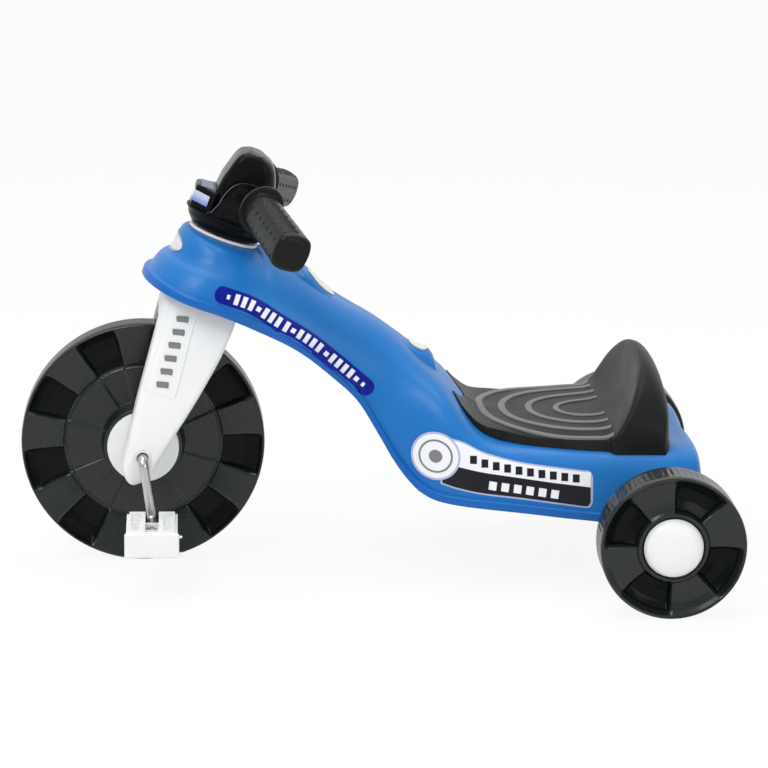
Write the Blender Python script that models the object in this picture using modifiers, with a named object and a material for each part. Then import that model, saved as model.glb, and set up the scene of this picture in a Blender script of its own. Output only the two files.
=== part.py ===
"""Toddler ride-on tricycle: moulded body, steered front fork with direct pedals, two rear wheels.

Metres, +Z up. The trike faces -X and its left side is -Y. The origin lies on the floor, in the
middle of the length. Pieces hang on empties: the datum stands on the floor under the front axle,
the steering pivot lies at the top of the head, and each wheel and pedal has its own pivot.
"""

import math

import bmesh
import bpy
from mathutils import Matrix, Vector
from mathutils.bvhtree import BVHTree

# Fits
GAP = 0.0003
RUNNING_FIT = 0.0004
WALL = 0.003

# Wheels and their places
FRONT_RADIUS = 0.125
FRONT_PANELS = 18
REAR_RADIUS = 0.0725
REAR_PANELS = 8
WHEELBASE = 0.521
REAR_TRACK = 0.421
ROD_RADIUS = 0.00475

# Steering head, measured from the datum
HEAD_X = 0.083
HEAD_Z = 0.343
RAKE = math.radians(19.5)

# Fork, in the steering frame, whose Z runs up the steering axis
CROWN_TOP = -0.050
CROWN_BOTTOM = -0.096
LEG_INNER = 0.0368
LEG_OUTER = 0.078
POST_RADIUS = 0.0215
POST_TOP = 0.0035
TONGUE_WIDTH = 0.0124
TONGUE_LENGTH = 0.030
TONGUE_RISE = 0.0070
BOLT_RADIUS = 0.0039

# Head bush
BUSH_RADIUS = 0.0305
BUSH_FLANGE_RADIUS = 0.0365
BUSH_FLANGE = 0.0030

# Crank and pedals
CRANK_RADIUS = 0.0635
CRANK_LEAN = math.radians(8.6)
CRANK_ARM_Y = 0.0873
BEND_RADIUS = 0.0080
SPINDLE_LENGTH = 0.0850
HUB_FACE_Y = 0.0345
HUB_RADIUS = 0.0366
PEDAL_START = 0.0068
PEDAL_LENGTH = 0.084
PEDAL_WIDTH = 0.051
PEDAL_HEIGHT = 0.0245
PEDAL_CHANNEL = 0.0134

# Body
DECK_Z = 0.1455
FLANGE_LIP = 0.0055
FLANGE_HEIGHT = 0.0085
SLEEVE_RADIUS = 0.0090

# Seat
SEAT_HALF_WIDTH = 0.1235
SEAT_FRONT_X = 0.3160
SEAT_REAR_X = WHEELBASE + 0.0125
PAN_REAR = WHEELBASE - 0.051
SEAT_PAN_Z = 0.1565
SEAT_WALL = 0.003

# Handlebar, in the steering frame
GRIP_START = Vector((0.0205, 0.077, 0.0475))
GRIP_END = Vector((0.0560, 0.180, 0.0330))
GRIP_RADIUS = 0.0185
GRIP_DISC_RADIUS = 0.0235
GRIP_DISC = 0.0035
ARM_CENTRE = (0.0195, 0.0435)
ARM_RADIUS = 0.0163
ARM_REACH = 0.0900
STUB_RADIUS = 0.0105
STUB_REACH = 0.085
BOWL_RIM_RADIUS = 0.0450
BOWL_RIM_Z = 0.0175
LENS_LOW = 0.0205
LENS_HIGH = 0.0370
LENS_DEPTH = 0.0012
LENS_PROUD = 0.0004

# Worked out from the sizes above
DATUM_X = -(WHEELBASE + REAR_RADIUS - FRONT_RADIUS) / 2
LEFT, RIGHT = -1, 1


def clear_scene():
    for obj in list(bpy.data.objects):
        bpy.data.objects.remove(obj, do_unlink=True)


def new_collection(name):
    made = bpy.data.collections.new(name)
    bpy.context.scene.collection.children.link(made)
    return made


def new_material(name, colour, roughness, metallic=0.0):
    made = bpy.data.materials.new(name)
    made.use_nodes = True
    shader = made.node_tree.nodes["Principled BSDF"]
    shader.inputs["Base Color"].default_value = (*colour, 1.0)
    shader.inputs["Roughness"].default_value = roughness
    shader.inputs["Metallic"].default_value = metallic
    made.diffuse_color = (*colour, 1.0)
    return made


clear_scene()
TRICYCLE = new_collection("tricycle")
CUTTERS = new_collection("cutters")
CUTTERS.hide_render = True

BLUE = new_material("body_blue_plastic", (0.018, 0.153, 0.527), 0.38)
BLACK = new_material("wheel_black_plastic", (0.028, 0.032, 0.030), 0.50)
SEAT_BLACK = new_material("seat_black_plastic", (0.030, 0.031, 0.032), 0.42)
GRIP_BLACK = new_material("grip_black_vinyl", (0.022, 0.024, 0.023), 0.62)
CONSOLE_BLACK = new_material("console_black_plastic", (0.020, 0.021, 0.022), 0.30)
WHITE = new_material("fork_white_plastic", (0.83, 0.83, 0.82), 0.40)
SILVER = new_material("lens_silver", (0.62, 0.68, 0.80), 0.18, 0.6)
STEEL = new_material("zinc_plated_steel", (0.55, 0.55, 0.54), 0.32, 1.0)


def place(obj, collection, material=None, parent=None, location=(0, 0, 0), rotation=(0, 0, 0)):
    collection.objects.link(obj)
    if material is not None:
        obj.data.materials.append(material)
    obj.parent = parent
    obj.location = location
    obj.rotation_euler = rotation
    return obj


def pivot(name, parent=None, location=(0, 0, 0), rotation=(0, 0, 0)):
    made = bpy.data.objects.new(name, None)
    made.empty_display_size = 0.03
    return place(made, TRICYCLE, None, parent, location, rotation)


def smooth(mesh, angle=35):
    mesh.shade_smooth()
    mesh.set_sharp_from_angle(angle=math.radians(angle))


def mesh_from(name, bm):
    bmesh.ops.recalc_face_normals(bm, faces=bm.faces)
    closed = all(edge.is_manifold for edge in bm.edges)
    if closed and bm.calc_volume(signed=True) < 0:
        bmesh.ops.reverse_faces(bm, faces=bm.faces)
    mesh = bpy.data.meshes.new(name)
    bm.to_mesh(mesh)
    bm.free()
    smooth(mesh)
    return mesh


def part(name, bm, material, parent, location=(0, 0, 0), rotation=(0, 0, 0)):
    obj = bpy.data.objects.new(name, mesh_from(name, bm))
    return place(obj, TRICYCLE, material, parent, location, rotation)


def loft(sections, closed_across=True, cap_ends=True):
    """A bmesh through equal-length sections of points."""
    bm = bmesh.new()
    rings = [[bm.verts.new(point) for point in section] for section in sections]
    count = len(rings[0])
    across = count if closed_across else count - 1
    for low, high in zip(rings, rings[1:]):
        for i in range(across):
            j = (i + 1) % count
            bm.faces.new((low[i], low[j], high[j], high[i]))
    if cap_ends:
        bm.faces.new(rings[0][::-1])
        bm.faces.new(rings[-1])
    return bm


def turned(name, material, parent, profile, steps=32, location=(0, 0, 0), rotation=(0, 0, 0),
           collection=None):
    """A turned piece about local Z. Its profile (radius, z) runs down the outside, top to bottom."""
    bm = bmesh.new()
    points = [bm.verts.new((radius, 0, z)) for radius, z in profile]
    for first, second in zip(points, points[1:]):
        bm.edges.new((first, second))
    if profile[0][0] > 0:
        bm.edges.new((points[-1], points[0]))
    mesh = bpy.data.meshes.new(name)
    bm.to_mesh(mesh)
    bm.free()
    obj = bpy.data.objects.new(name, mesh)
    place(obj, collection or TRICYCLE, material, parent, location, rotation)
    screw = obj.modifiers.new("turn", "SCREW")
    screw.steps = steps
    screw.render_steps = steps
    screw.use_merge_vertices = True
    screw.merge_threshold = 0.0001
    screw.use_smooth_shade = False
    if collection is CUTTERS:
        obj.hide_render = True
        obj.display_type = "WIRE"
    return obj


def rod_cutter(name, parent, radius, length, location, rotation=(0, 0, 0), steps=32):
    half = length / 2
    profile = [(0, half), (radius, half), (radius, -half), (0, -half)]
    return turned(name, None, parent, profile, steps, location, rotation, CUTTERS)


def box_cutter(name, parent, size, location, rotation=(0, 0, 0)):
    bm = bmesh.new()
    bmesh.ops.create_cube(bm, size=1)
    bmesh.ops.scale(bm, vec=size, verts=bm.verts)
    obj = bpy.data.objects.new(name, mesh_from(name, bm))
    place(obj, CUTTERS, None, parent, location, rotation)
    obj.hide_render = True
    obj.display_type = "WIRE"
    return obj


def boolean(obj, other, operation="DIFFERENCE"):
    step = obj.modifiers.new(other.name, "BOOLEAN")
    step.operation = operation
    step.object = other
    step.solver = "EXACT"


def helper(bm, name, parent, location=(0, 0, 0), rotation=(0, 0, 0)):
    obj = bpy.data.objects.new(name, mesh_from(name, bm))
    place(obj, CUTTERS, None, parent, location, rotation)
    obj.hide_render = True
    obj.display_type = "WIRE"
    return obj


def bevel(obj, width, segments=2, angle=40):
    step = obj.modifiers.new("edges", "BEVEL")
    step.width = width
    step.segments = segments
    step.limit_method = "ANGLE"
    step.angle_limit = math.radians(angle)


def eased(points, x):
    """The height of a smooth curve through (x, value, ...) rows, read at x, as a tuple."""
    rows = points
    if x <= rows[0][0]:
        return rows[0][1:]
    if x >= rows[-1][0]:
        return rows[-1][1:]
    k = next(i for i in range(len(rows) - 1) if rows[i][0] <= x <= rows[i + 1][0])
    x0, x1 = rows[k][0], rows[k + 1][0]
    t = (x - x0) / (x1 - x0)
    values = []
    for column in range(1, len(rows[0])):
        y0, y1 = rows[k][column], rows[k + 1][column]
        slope = (y1 - y0) / (x1 - x0)
        before = slope
        after = slope
        if k > 0:
            last = (y0 - rows[k - 1][column]) / (x0 - rows[k - 1][0])
            before = 0 if last * slope <= 0 else 2 * last * slope / (last + slope)
        if k < len(rows) - 2:
            following = (rows[k + 2][column] - y1) / (rows[k + 2][0] - x1)
            after = 0 if following * slope <= 0 else 2 * following * slope / (following + slope)
        span = x1 - x0
        a = (1 + 2 * t) * (1 - t) ** 2
        b = t * (1 - t) ** 2 * span
        c = t * t * (3 - 2 * t)
        d = t * t * (t - 1) * span
        values.append(a * y0 + b * before + c * y1 + d * after)
    return tuple(values)


# Pivots: each moving body turns about one of these
DATUM = pivot("front_axle_datum", None, (DATUM_X, 0, 0))
STEERING = pivot("steering_pivot", DATUM, (HEAD_X, 0, HEAD_Z), (0, RAKE, 0))
TO_STEERING = Matrix.Rotation(-RAKE, 4, "Y")
AXLE_IN_STEERING = TO_STEERING @ Vector((-HEAD_X, 0, FRONT_RADIUS - HEAD_Z))
FRONT_AXLE = pivot("front_axle_pivot", STEERING, AXLE_IN_STEERING, (0, -RAKE, 0))
PEDAL_PIVOTS = {}
REAR_PIVOTS = {}
for side, side_name in ((LEFT, "left"), (RIGHT, "right")):
    down = -side
    crank_end = Vector((math.sin(CRANK_LEAN) * CRANK_RADIUS * down, 0,
                        -math.cos(CRANK_LEAN) * CRANK_RADIUS * down))
    crank_end.y = side * CRANK_ARM_Y
    PEDAL_PIVOTS[side] = pivot(f"pedal_{side_name}_pivot", FRONT_AXLE, crank_end)
    REAR_PIVOTS[side] = pivot(f"rear_{side_name}_pivot", DATUM,
                              (WHEELBASE, side * REAR_TRACK / 2, REAR_RADIUS))


# Body shell

# Rim of the shell from the head back to the deck: x, half width, height
RIM_FRONT = (
    (0.059, 0.0880, 0.2804),
    (0.077, 0.0880, 0.2745),
    (0.113, 0.0855, 0.2590),
    (0.155, 0.0800, 0.2370),
    (0.195, 0.0760, 0.2052),
    (0.216, 0.0765, 0.1852),
    (0.240, 0.0820, 0.1474),
    (0.2525, 0.0880, 0.1265),
    (0.267, 0.0960, 0.1075),
    (0.281, 0.1040, 0.0950),
    (0.296, 0.1120, 0.0888),
    (0.316, 0.1190, 0.0857),
    (0.341, 0.1250, 0.0837),
)
# Rim from the deck to the tail: share of the way from the deck's start to the rear axle, then the same
RIM_REAR = (
    (0.00, 0.1310, 0.0805),
    (0.30, 0.1370, 0.0770),
    (0.56, 0.1430, 0.0745),
    (0.76, 0.1480, 0.0690),
    (0.86, 0.1510, 0.0560),
    (1.00, 0.1520, 0.0480),
    (1.14, 0.1500, 0.0560),
    (1.225, 0.1440, 0.0680),
)
# Top line behind the head: x, height
TOP_FRONT = (
    (0.112, 0.3310),
    (0.128, 0.3205),
    (0.155, 0.3040),
    (0.180, 0.2865),
    (0.205, 0.2715),
    (0.236, 0.2540),
    (0.262, 0.2350),
    (0.283, 0.2170),
    (0.302, 0.2020),
    (0.318, 0.1875),
    (0.330, 0.1725),
    (0.341, 0.1600),
    (0.353, 0.1510),
    (0.368, 0.1465),
)
# Top line over the deck: share of the way to the rear axle, height
TOP_REAR = (
    (0.00, DECK_Z),
    (1.00, DECK_Z),
    (1.10, 0.1430),
    (1.175, 0.1405),
)
DECK_START = 0.384
TO_AXLE = WHEELBASE - DECK_START
RIM = RIM_FRONT + tuple((DECK_START + TO_AXLE * share, *row) for share, *row in RIM_REAR)
TOP = TOP_FRONT + tuple((DECK_START + TO_AXLE * share, height) for share, height in TOP_REAR)
NOSE_LENGTH = 0.060
NOSE_HALF_WIDTH = 0.088
HEAD_HOLE = BUSH_RADIUS - 0.0020
HEAD_FACE = -0.0040
HEAD_STEPS = 8
NECK_STEPS = 19
TAIL_STEPS = 4
TAIL_REACH = 0.049
TAIL_Z = 0.066

# Head wall from the rim to the collar: share inwards, share upwards
HEAD_WALL = ((0, 0), (0.10, 0.17), (0.22, 0.31), (0.44, 0.42), (0.49, 0.50),
             (0.555, 0.82), (0.62, 0.94), (0.77, 1.0), (1, 1))
WALL_POINTS = len(HEAD_WALL)


def steering_to_datum(x, y, z):
    turned_point = Matrix.Rotation(RAKE, 4, "Y") @ Vector((x, y, z))
    return turned_point + Vector((HEAD_X, 0, HEAD_Z))


def pods(x, y):
    """How far the two rear-facing pods on the neck stand up at a place."""
    height = 0.0
    for start, crest, end, rise, half_width in (
        (0.140, 0.167, 0.197, 0.0100, 0.026),
        (0.262, 0.292, 0.300, 0.0105, 0.022),
    ):
        if start < x < end:
            along = (x - start) / (crest - start) if x < crest else (end - x) / (end - crest)
            along = along * along * (3 - 2 * along)
            across = max(0.0, 1 - (y / half_width) ** 4)
            height += rise * along * across
    return height


def superellipse_wall(power, lean):
    """Shares inwards and upwards along a wall that rises, turns over a shoulder and runs flat."""
    rows = []
    for i in range(WALL_POINTS):
        angle = math.pi / 2 * i / (WALL_POINTS - 1)
        inwards = 1 - math.cos(angle) ** (2 / power)
        upwards = math.sin(angle) ** (2 / power)
        rows.append((lean * upwards * (1 - inwards) + inwards, upwards))
    return rows


def body_station(rim, top, up, wall):
    """Points from the bottom of the rim lip over the wall to the top line, on the left side."""
    centre = Vector((top.x, 0, rim.z))
    inwards = Vector((centre.x - rim.x, -rim.y, 0))
    if inwards.length > 1e-9:
        inwards.normalize()
    points = [rim, rim + up * FLANGE_HEIGHT * 0.6]
    points.append(rim + up * FLANGE_HEIGHT + inwards * 0.0018)
    base = rim + up * (FLANGE_HEIGHT + 0.0004) + inwards * FLANGE_LIP
    across = top - base
    rise = up * across.dot(up)
    level = across - rise
    for share_in, share_up in wall:
        point = base + level * share_in + rise * share_up
        points.append(point)
    return points


def body_stations():
    stations = []
    steering_up = Matrix.Rotation(RAKE, 4, "Y") @ Vector((0, 0, 1))
    last_rim_x = RIM[0][0]
    for i in range(HEAD_STEPS + 1):
        share = i / HEAD_STEPS
        turn = math.pi * share
        top = steering_to_datum(-HEAD_HOLE * math.cos(turn), -HEAD_HOLE * math.sin(turn), HEAD_FACE)
        sweep = min(1.0, share / 0.55)
        if sweep < 1.0:
            angle = math.pi / 2 * sweep
            x = RIM[0][0] - NOSE_LENGTH * math.cos(angle)
            y = -NOSE_HALF_WIDTH * math.sin(angle)
            drop = -0.067 - (x - HEAD_X) * math.sin(RAKE)
            z = HEAD_Z + drop / math.cos(RAKE)
        else:
            x = RIM[0][0] + (share - 0.55) / 0.45 * 0.056
            half_width, z = eased(RIM, x)
            y = -half_width
        last_rim_x = x
        softness = 0.5 - 0.5 * math.cos(turn)
        round_wall = superellipse_wall(2.5, 0.05)
        wall = [
            (a[0] * (1 - softness) + b[0] * softness, a[1] * (1 - softness) + b[1] * softness)
            for a, b in zip(HEAD_WALL, round_wall)
        ]
        stations.append((Vector((x, y, z)), top, steering_up, wall))
    first_top_x = stations[-1][1].x
    rim_end, top_end = RIM[-1][0], TOP[-1][0] - 0.006
    for i in range(1, NECK_STEPS + 1):
        share = i / NECK_STEPS
        rim_x = last_rim_x + (rim_end - last_rim_x) * share
        lead = 0.5 - 0.5 * math.cos(2 * math.pi * min(1.0, share * 1.25))
        top_x = first_top_x + (top_end - first_top_x) * share + 0.022 * lead
        half_width, rim_z = eased(RIM, rim_x)
        (top_z,) = eased(TOP, top_x)
        up = steering_up.lerp(Vector((0, 0, 1)), min(1.0, share * 2)).normalized()
        flat = min(1.0, max(0.0, (rim_x - 0.23) / 0.13))
        flat = flat * flat * (3 - 2 * flat)
        wall = superellipse_wall(2.5 + 5.5 * flat, 0.05 + 0.03 * flat)
        rim = Vector((rim_x, -half_width, rim_z))
        stations.append((rim, Vector((top_x, 0, top_z)), up, wall))
    corner = stations[-1][0]
    for i in range(1, TAIL_STEPS + 1):
        share = i / TAIL_STEPS
        angle = math.pi / 2 * share
        x = corner.x + (WHEELBASE + TAIL_REACH - corner.x) * math.sin(angle) ** 0.5
        y = corner.y * math.cos(angle) ** 0.5 if i < TAIL_STEPS else 0.0
        z = corner.z + (TAIL_Z - corner.z) * share
        top_x = top_end + (TOP[-1][0] - top_end) * share
        (top_z,) = eased(TOP, top_x)
        wall = superellipse_wall(8 - 3 * share, 0.10)
        stations.append((Vector((x, y, z)), Vector((top_x, 0, top_z)), Vector((0, 0, 1)), wall))
    return stations


def body_grid():
    columns = []
    for rim, top, up, wall in body_stations():
        column = body_station(rim, top, up, wall)
        for point in column[3:]:
            point.z += pods(point.x, point.y)
        columns.append(column)
    for edge in (columns[0], columns[-1]):
        for point in edge:
            point.y = 0.0
    return columns


def build_body_shell():
    columns = body_grid()
    bm = loft(columns, closed_across=False, cap_ends=False)
    for vert in bm.verts:
        if abs(vert.co.y) < 1e-6:
            vert.co.y = 0.0
    bmesh.ops.remove_doubles(bm, verts=bm.verts, dist=1e-5)
    shell = part("body_shell", bm, BLUE, DATUM)
    # The normals of the open half must face out before the wall is added inwards.
    centre_face = min(shell.data.polygons, key=lambda face: face.center.y)
    if centre_face.normal.y > 0:
        shell.data.flip_normals()
    mirror = shell.modifiers.new("other_half", "MIRROR")
    mirror.use_axis = (False, True, False)
    mirror.merge_threshold = 0.00002
    wall = shell.modifiers.new("wall", "SOLIDIFY")
    wall.thickness = WALL
    wall.offset = -1
    return shell


BODY_SHELL = build_body_shell()


def body_surface():
    """The outside of the body as a tree that a ray can find, in the datum's frame."""
    bm = loft(body_grid(), closed_across=False, cap_ends=False)
    tree = BVHTree.FromBMesh(bm)
    bm.free()
    return tree


SURFACE = body_surface()


def body_top(x, y):
    hit = SURFACE.ray_cast(Vector((x, -max(abs(y), 0.0004), 0.5)), Vector((0, 0, -1)))
    return hit[0].z if hit[0] is not None else DECK_Z


def sweep(path, frames, section):
    """Sections of (across, up) points carried along a path; each frame is (across, up) vectors."""
    rings = []
    for point, (across, up) in zip(path, frames):
        rings.append([point + across * a + up * b for a, b in section])
    return loft(rings)


def disc_section(radius, count):
    turn = 2 * math.pi / count
    return [(radius * math.cos(turn * i), radius * math.sin(turn * i)) for i in range(count)]


def pan_x(share):
    """A place along the seat's pan, as a share of its length from the front."""
    return SEAT_FRONT_X + (PAN_REAR - SEAT_FRONT_X) * share


def back_x(share):
    """A place through the seat's back, as a share of its depth from the pan."""
    return PAN_REAR + (SEAT_REAR_X - PAN_REAR) * share


# Holes in the body for the axle sleeve and the seat's screws
SEAT_SCREWS = ((pan_x(0.43), 0.486 * SEAT_HALF_WIDTH), (pan_x(0.43), -0.486 * SEAT_HALF_WIDTH),
               (pan_x(0.88), 0.583 * SEAT_HALF_WIDTH), (pan_x(0.88), -0.583 * SEAT_HALF_WIDTH))
SCREW_RADIUS = 0.0020
SCREW_HEAD_RADIUS = 0.0045
SCREW_HEAD = 0.0022
SCREW_BITE = 0.0070
BOSS_RADIUS = 0.0055

ALONG_Y = (math.pi / 2, 0, 0)
boolean(BODY_SHELL, rod_cutter("head_hole", STEERING, BUSH_RADIUS + GAP, 0.020,
                               (0, 0, HEAD_FACE), steps=32))
boolean(BODY_SHELL, rod_cutter("sleeve_hole", DATUM, SLEEVE_RADIUS + GAP, REAR_TRACK,
                               (WHEELBASE, 0, REAR_RADIUS), ALONG_Y, 24))
for n, (screw_x, screw_y) in enumerate(SEAT_SCREWS):
    boolean(BODY_SHELL, rod_cutter(f"seat_screw_hole_{n + 1}", DATUM, SCREW_RADIUS + GAP, 0.02,
                                   (screw_x, screw_y, body_top(screw_x, screw_y)), steps=12))


# Seat

# Along the middle from the front edge over the pan and the back: x, height over the pan
PAN_LINE = ((0, None), (0.0007, None), (0.064, None), (0.171, None), (0.331, None),
            (0.505, 0.0), (0.853, 0.0), (1.0, 0.0025))
BACK_LINE = ((0.220, 0.0085), (0.370, 0.0225), (0.528, 0.0545), (0.570, 0.0640),
             (0.630, 0.0708), (0.709, 0.0690), (0.800, 0.0635), (0.900, 0.0530),
             (0.970, 0.0370), (0.992, None), (1.0, None))
SEAT_LINE = (tuple((pan_x(share), height) for share, height in PAN_LINE)
             + tuple((back_x(share), height) for share, height in BACK_LINE))
SEAT_ACROSS = (0, 0.20, 0.39, 0.56, 0.71, 0.83, 0.92, 0.975, 1.0)
SEAT_FRONT_LIFT = (None, 0.0042, 0.0065, 0.0088, 0.0112)
BACK_HALF_WIDTH = SEAT_HALF_WIDTH - 0.0055
# In plan: share of the way along the pan, half width as a share of the widest
SEAT_PLAN = tuple((pan_x(share), half) for share, half in (
    (0.00, 0.455), (0.075, 0.567), (0.14, 0.640), (0.22, 0.690), (0.30, 0.725), (0.44, 0.795),
    (0.56, 0.840), (0.73, 0.892), (1.00, 0.957))) + ((back_x(0.40), 0.990), (back_x(0.65), 1.0))
FRONT_NOTCH = 0.012


def seat_half_width(x):
    return SEAT_HALF_WIDTH * eased(SEAT_PLAN, x)[0]


def pan_height(across):
    return SEAT_PAN_Z - 0.0045 * across ** 8


def seat_rest(x, y):
    """The height at which the seat's edge clears the body, with the wall's width inside it."""
    inwards = (SEAT_WALL + 0.001) * (1 if x < PAN_REAR else -1)
    nearer = max(abs(y) - abs(inwards), 0)
    places = [(x, y), (x + inwards, y), (x, nearer), (x + inwards, nearer)]
    if x < PAN_REAR:
        places += [(x, abs(y) - 0.009), (x, abs(y) + 0.009)]
    return max(body_top(px, py) for px, py in places) + GAP


def seat_point(index, across):
    x, over_pan = SEAT_LINE[index]
    y = -across * seat_half_width(x)
    if x <= PAN_REAR:
        along = (x - SEAT_FRONT_X) / (PAN_REAR - SEAT_FRONT_X)
        x += FRONT_NOTCH * (1 - across ** 2) * (1 - along) ** 4
    else:
        along = (x - PAN_REAR) / (SEAT_REAR_X - PAN_REAR)
        x -= 0.008 * across ** 10 * along
        if over_pan is not None:
            bow = max(0.0, math.sin(math.pi * along))
            x -= 0.0155 * (abs(y) / BACK_HALF_WIDTH) ** 2.6 * bow
    last = len(SEAT_LINE) - 1
    if index in (0, last):
        return Vector((x, y, seat_rest(x, y)))
    thick = body_top(x, y) + 0.0042
    if index == last - 1:
        return Vector((x, y, max(seat_rest(x, y) + 0.003, thick)))
    if over_pan is None:
        z = max(pan_height(across), body_top(x, y) + SEAT_FRONT_LIFT[index])
        return Vector((x, y, z))
    share = math.sqrt(max(0.0, 1 - (y / SEAT_HALF_WIDTH) ** 2))
    return Vector((x, y, max(pan_height(across) + over_pan * share, thick)))


def seat_grid():
    rows = []
    for across in SEAT_ACROSS:
        rows.append([seat_point(i, across) for i in range(len(SEAT_LINE))])
    edge = []
    for point in rows[-1]:
        edge.append(Vector((point.x, point.y, seat_rest(point.x, point.y))))
    rows.append(edge)
    for point in rows[0]:
        point.y = 0.0
    return rows


def seat_surface():
    bm = loft(seat_grid(), closed_across=False, cap_ends=False)
    tree = BVHTree.FromBMesh(bm)
    bm.free()
    return tree


def seat_underside(x, y):
    """The height just over the body, safe over the body's crown between two points."""
    return max(body_top(x, y), body_top(x, y - 0.009), body_top(x, y + 0.009)) + GAP


def seat_pocket(name, sections):
    """A hollow reaching up into the seat from below, lofted through outlines in plan."""
    rows = [[Vector((x, y, z)) for x, y in outline] for z, outline in sections]
    return helper(loft(rows), name, DATUM)


def build_seat():
    rows = seat_grid()
    last = len(SEAT_LINE) - 1
    bm = bmesh.new()
    top = [[bm.verts.new(point) for point in row] for row in rows]
    under = []
    for r, row in enumerate(rows[:-2]):
        line = [top[r][0]]
        for point in row[1:-1]:
            line.append(bm.verts.new((point.x, point.y, seat_underside(point.x, point.y))))
        under.append(line + [top[r][last]])
    under.append(top[-1])
    for layer in (top, under):
        for low, high in zip(layer, layer[1:]):
            for i in range(last):
                corners = (low[i], low[i + 1], high[i + 1], high[i])
                if len(set(corners)) > 2:
                    bm.faces.new(corners)
    bmesh.ops.remove_doubles(bm, verts=bm.verts, dist=2e-5)
    bmesh.ops.dissolve_degenerate(bm, edges=bm.edges, dist=1e-6)
    seat = part("seat", bm, SEAT_BLACK, DATUM)
    top_face = max(seat.data.polygons, key=lambda face: face.center.z)
    if top_face.normal.z < 0:
        seat.data.flip_normals()
    mirror = seat.modifiers.new("other_half", "MIRROR")
    mirror.use_axis = (False, True, False)
    mirror.merge_threshold = 0.00002
    pan_top = SEAT_PAN_Z - SEAT_WALL
    pan = [(pan_x(along), -across * SEAT_HALF_WIDTH)
           for along, across in ((0.247, 0.364), (0.377, 0.599), (0.558, 0.745), (0.960, 0.769))]
    pan += [(x, -y) for x, y in reversed(pan)]
    pocket_low = SEAT_PAN_Z - 0.0265
    boolean(seat, seat_pocket("pan_pocket", ((pocket_low, pan), (pan_top, pan))))
    sections = []
    for rise, front, rear, half in ((-0.0265, 0.331, 0.913, 0.847), (0.0015, 0.386, 0.900, 0.800),
                                    (0.0235, 0.457, 0.880, 0.700), (0.0435, 0.551, 0.830, 0.550),
                                    (0.0555, 0.606, 0.770, 0.400)):
        z = SEAT_PAN_Z + rise
        front, rear, half = back_x(front), back_x(rear), half * BACK_HALF_WIDTH
        sections.append((z, [(front, -half), (rear, -half), (rear, half), (front, half)]))
    boolean(seat, seat_pocket("back_pocket", sections))
    return seat


SEAT_TREE = seat_surface()


def seat_top(x, y):
    hit = SEAT_TREE.ray_cast(Vector((x, -max(abs(y), 0.0004), 0.5)), Vector((0, 0, -1)))
    return hit[0].z if hit[0] is not None else SEAT_PAN_Z


SEAT = build_seat()

# Bosses under the pan, and raised ribs on it
for n, (screw_x, screw_y) in enumerate(SEAT_SCREWS):
    boss_low = body_top(screw_x, screw_y) + GAP
    boss_high = seat_top(screw_x, screw_y) - SEAT_WALL / 2
    boss = turned(f"seat_boss_{n + 1}", None, DATUM,
                  [(BOSS_RADIUS, boss_high), (BOSS_RADIUS, boss_low),
                   (SCREW_RADIUS + GAP, boss_low), (SCREW_RADIUS + GAP, boss_high)],
                  12, (screw_x, screw_y, 0), (0, 0, 0), CUTTERS)
    boolean(SEAT, boss, "UNION")

# Each rib: place of its apex along the pan, half width as a share of the seat's, then its width
RIB_TIP_X = PAN_REAR + 0.004
RIBS = ((0.201, 0.899, 0.0092), (0.357, 0.713, 0.0088), (0.539, 0.494, 0.0082), (0.724, 0.271, 0.0074))
RIB_HEIGHT = 0.0013
for n, (apex, half_width, rib_width) in enumerate(RIBS):
    apex_x = pan_x(apex)
    half_width *= SEAT_HALF_WIDTH
    path, frames = [], []
    steps = 14
    for i in range(steps + 1):
        turn = math.pi * (i / steps - 0.5)
        power = 2 / 2.2
        x = RIB_TIP_X - (RIB_TIP_X - apex_x) * abs(math.cos(turn)) ** power
        y = half_width * math.copysign(abs(math.sin(turn)) ** power, turn)
        path.append(Vector((x, y, seat_top(x, y))))
    for i, point in enumerate(path):
        along = path[min(i + 1, steps)] - path[max(i - 1, 0)]
        along.z = 0
        along.normalize()
        frames.append((Vector((along.y, -along.x, 0)), Vector((0, 0, 1))))
    half = rib_width / 2
    section = [(-half, -0.0012), (-half + 0.0012, RIB_HEIGHT), (half - 0.0012, RIB_HEIGHT),
               (half, -0.0012)]
    rib = helper(sweep(path, frames, section), f"seat_rib_{n + 1}", DATUM)
    boolean(SEAT, rib, "UNION")
for n, (screw_x, screw_y) in enumerate(SEAT_SCREWS):
    rest = body_top(screw_x, screw_y)
    head_top = rest - WALL - GAP
    bite_end = rest + SCREW_BITE
    turned(f"seat_screw_{n + 1}", STEEL, DATUM,
           [(0, bite_end), (SCREW_RADIUS, bite_end - 0.0015),
            (SCREW_RADIUS, head_top), (SCREW_HEAD_RADIUS, head_top),
            (SCREW_HEAD_RADIUS * 0.6, head_top - SCREW_HEAD), (0, head_top - SCREW_HEAD)],
           12, (screw_x, screw_y, 0))


# Head bush and the spacer that carries the head on the fork
BUSH_SLEEVE_END = -0.040
turned("head_bush", WHITE, STEERING,
       [(BUSH_FLANGE_RADIUS, HEAD_FACE + GAP + BUSH_FLANGE),
        (BUSH_FLANGE_RADIUS, HEAD_FACE + GAP), (BUSH_RADIUS, HEAD_FACE + GAP),
        (BUSH_RADIUS, BUSH_SLEEVE_END), (POST_RADIUS + RUNNING_FIT, BUSH_SLEEVE_END),
        (POST_RADIUS + RUNNING_FIT, HEAD_FACE + GAP + BUSH_FLANGE)], 32)
SPACER_TOP = HEAD_FACE - WALL - 3 * GAP
SPACER_WALL = 0.0030
turned("head_spacer", WHITE, STEERING,
       [(BUSH_RADIUS + GAP + SPACER_WALL, SPACER_TOP),
        (BUSH_RADIUS + GAP + SPACER_WALL, CROWN_TOP + GAP),
        (BUSH_RADIUS + GAP, CROWN_TOP + GAP), (BUSH_RADIUS + GAP, SPACER_TOP)], 28)


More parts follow.
